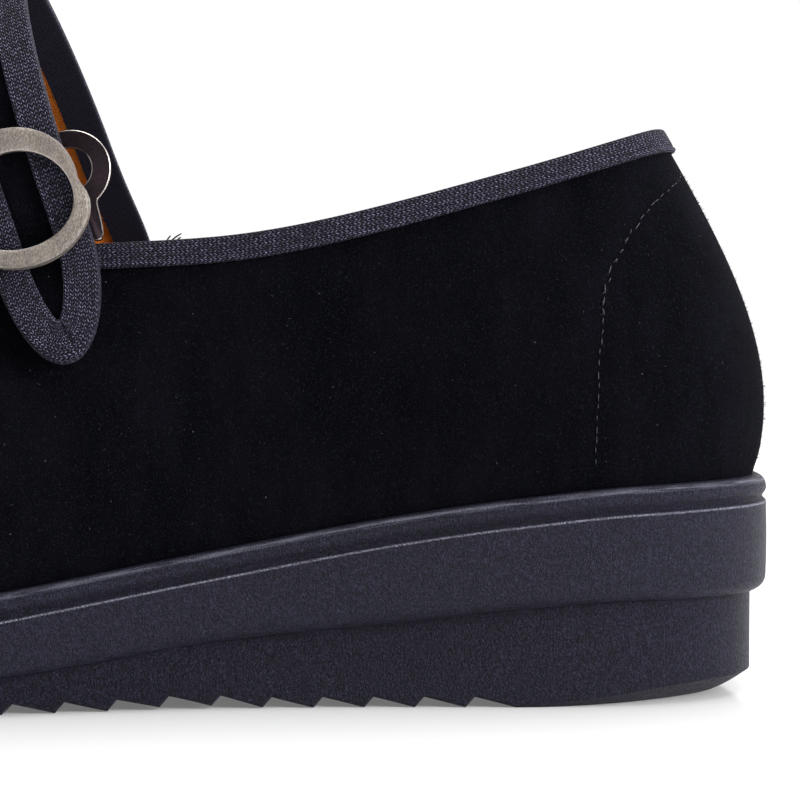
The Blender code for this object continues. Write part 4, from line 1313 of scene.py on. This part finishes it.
def build_ring(material, rim_material):
    """Flat stamped ring with an oval hole and softened edges."""
    base = STRAP_HALF_STACK + CLEARANCE
    top = base + RING_THICKNESS
    turns = math.tau * np.arange(RING_STEPS) / RING_STEPS
    along = np.sin(turns)
    across = np.cos(turns)
    hole = 1.0 / np.hypot(across / RING_HOLE_ACROSS, along / RING_HOLE_ALONG)
    outer = RING_RADIUS - ring_notch(turns)
    soft = RING_ROUND_OFF
    rows = (
        (outer, base + soft), (outer, top - soft), (outer - 0.3 * soft, top - 0.3 * soft),
        (outer - soft, top), (outer - RING_CROWN, top + RING_CROWN_RISE), ((outer + hole) / 2.0, top),
        (hole + RING_CROWN, top + RING_CROWN_RISE), (hole + soft, top), (hole + 0.3 * soft, top - 0.3 * soft),
        (hole, top - soft), (hole, base + soft), (hole + soft, base), (outer - soft, base),
    )
    centre = STRAP_LAP + RING_RISE
    columns = [(centre + r * along, r * across + RING_AHEAD, h) for r, h in rows]
    return stamped_piece("ring", columns, material, rim_material, ([1, 2], [2, 3], [7, 8], [8, 9]))


def plate_reach(across, upward):
    """Distance from the plate's hole to its edge: a round lobe with a square tab below it."""
    reach = PLATE_RADIUS
    if upward < 0.0:
        below = (PLATE_RISE - PLATE_FOOT) / -upward
        side = PLATE_TAB_FRONT + PLATE_BACK if across > 0.0 else PLATE_TAB_BACK - PLATE_BACK
        lean = abs(across) + PLATE_TAB_SPREAD * upward * (1.0 if across < 0.0 else 0.0)
        beside = side / lean if lean > side / below else below
        reach = max(reach, min(below, beside))
    return reach


def build_plate(material, rim_material):
    """Hook plate behind the strap with its round eye, its metal darkened as painted shade, and a painted
    highlight on its cut edges.
    """
    face = -STRAP_HALF_STACK - CLEARANCE
    back = face - PLATE_THICKNESS
    tilt = math.atan(STRAP_LEAN)
    turns = math.tau * np.arange(PLATE_STEPS) / PLATE_STEPS
    across = np.cos(turns)
    upward = np.sin(turns)
    reach = np.array([plate_reach(a, b) for a, b in zip(across, upward)])
    reach = np.convolve(np.concatenate((reach[-2:], reach, reach[:2])), PLATE_CORNER_SOFTENING, "valid")
    eye = np.full(PLATE_STEPS, PLATE_HOLE_RADIUS)
    edge = PLATE_ROUND_OFF
    columns = []
    for r, h in (
        (reach - edge, face), (reach, face - edge), (reach, back + edge), (reach - edge, back),
        (eye + edge, back), (eye, back + edge), (eye, face - edge), (eye + edge, face),
    ):
        p = -PLATE_BACK + r * across
        q = PLATE_RISE + r * upward
        w = p * math.cos(tilt) - q * math.sin(tilt)
        columns.append((STRAP_LAP + p * math.sin(tilt) + q * math.cos(tilt), w, h))
    return stamped_piece("plate", columns, material, rim_material, ([0, 1], [2, 3], [4, 5], [6, 7]))


def build_frays(material):
    """A few short loose threads that stand up from the collar's edge beside the strap."""
    tubes = []
    t = np.linspace(0.0, 1.0, 7)
    for place, lean, height, bend in FRAYS:
        point = wall_spot(place, 0.0)[0] + np.array((0.0, 0.0, 0.0006))
        bow = (-lean * height * t, bend * height * t * t * 0.5, height * t * (1.0 - 0.25 * t))
        tubes.append(tube(point + np.stack(bow, 1), 0.00015, 6, 0.5))
    return join_tubes("frayed_threads", tubes, material)


# Stage


def add_camera():
    """Camera at the photo's angle, on the outer side of the shoe."""
    data = bpy.data.cameras.new("camera")
    data.sensor_width = SENSOR_WIDTH
    data.lens = FOCAL_PIXELS / IMAGE_SIZE * SENSOR_WIDTH
    data.clip_start = 0.01
    camera = link("camera", data)
    camera.location = np.array((CAMERA_ALONG, CAMERA_DISTANCE, CAMERA_HEIGHT)) - ORIGIN
    down = math.atan(HORIZON_ABOVE_MIDDLE / FOCAL_PIXELS)
    camera.rotation_euler = (math.pi / 2.0 - down, 0.0, math.pi)
    bpy.context.scene.camera = camera


def add_stage():
    """Plain white floor, soft lights, and a sky that is white behind the shoe and dim before it."""
    mesh = bpy.data.meshes.new("floor")
    mesh.from_pydata([(x, y, 0.0) for x, y in FLOOR_CORNERS], [], [(0, 1, 2, 3)])
    mesh.materials.append(floor_finish())
    link("floor", mesh)
    for row in LIGHTS:
        data = bpy.data.lights.new(row.name, "AREA")
        data.shape = "RECTANGLE"
        data.size, data.size_y = row.size
        data.energy = row.power
        light = link(row.name, data)
        light.location = row.place
        light.rotation_euler = (Vector(row.aim) - Vector(row.place)).to_track_quat("-Z", "Y").to_euler()
    world = bpy.data.worlds.new("studio")
    bpy.context.scene.world = world
    world.use_nodes = True
    nodes = world.node_tree.nodes
    nodes["Background"].inputs["Color"].default_value = (1.0, 1.0, 1.0, 1.0)
    coordinates = nodes.new("ShaderNodeTexCoord")
    split = nodes.new("ShaderNodeSeparateXYZ")
    fade = nodes.new("ShaderNodeMapRange")
    for name, value in SKY.items():
        fade.inputs[name].default_value = value
    world.node_tree.links.new(coordinates.outputs["Generated"], split.inputs[0])
    world.node_tree.links.new(split.outputs["Y"], fade.inputs["Value"])
    world.node_tree.links.new(fade.outputs["Result"], nodes["Background"].inputs["Strength"])
    bpy.context.scene.view_settings.view_transform = "Standard"


def main():
    """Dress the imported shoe."""
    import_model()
    add_camera()
    add_stage()
    random = np.random.default_rng(7)

    velvet = velvet_finish()
    cotton = cotton_finish("cotton", (0.80, 0.27, 0.045), (0.52, 0.155, 0.020))
    # The paler colour of each weave is a painted highlight on its yarn crowns.
    collar_weave = tape_finish("collar_weave", 0.00078, 0.00044, TAPE_BLACK_GAP_SHADE, (0.235, 0.220, 0.360))
    strap_weave = tape_finish("strap_weave", 0.00074, 0.00042, TAPE_BLACK_GAP_SHADE, (0.275, 0.258, 0.415))
    # A darker copy of the tape for its back side: painted shade.
    tape_back_shade = cotton_finish("folded_tape_painted_shade", (0.0115, 0.0110, 0.0190), (0.0070, 0.0068, 0.0125))
    # Both bands get painted shade in the grain's creases and painted highlights on its specks; the upper band
    # also painted highlights on its bead's crown and lip and painted shade in its channel.
    upper_band = sole_finish("upper_band", (0.0092, 0.0088, 0.0172), 1300.0, 0.00040, 0.42, True)
    lower_band = sole_finish("lower_band", (0.0082, 0.0078, 0.0156), 1150.0, 0.00048, 0.46, False)
    ring_metal = metal_finish("ring_metal", (0.60, 0.535, 0.480), (0.24, 0.205, 0.180), 0.50, 0.00020)
    # The plate's metal darkened as painted shade.
    shaded_plate_metal = metal_finish("shaded_plate_metal", (0.085, 0.060, 0.072), (0.045, 0.033, 0.040), 0.34, 0.00006)
    # Paler metal on the cut edges: a painted highlight.
    edge_highlight_metal = metal_finish("edge_highlight_metal", (0.62, 0.56, 0.53), (0.40, 0.36, 0.34), 0.32, 0.00002)
    pale_thread = thread_finish("pale_thread", (0.075, 0.075, 0.092))
    lint_fibre = thread_finish("lint_fibre", (0.055, 0.055, 0.068))
    black_thread = thread_finish("black_thread", (0.004, 0.004, 0.006))

    for piece in (
        build_midsole(upper_band),
        build_outsole(lower_band),
        build_footbed(cotton),
        *build_upper(velvet, cotton),
        build_seam_stitches(pale_thread, random),
        build_lint(lint_fibre, random),
        build_pile(black_thread, random),
        build_collar_tape(collar_weave),
        *build_strap(velvet, cotton),
        build_strap_tape(strap_weave, tape_back_shade),
        build_ring(ring_metal, edge_highlight_metal),
        build_plate(shaded_plate_metal, edge_highlight_metal),
        build_frays(black_thread),
    ):
        node, slot = ROLES[piece.name]
        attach(piece, "root")
        if node:
            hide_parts(node)


main()
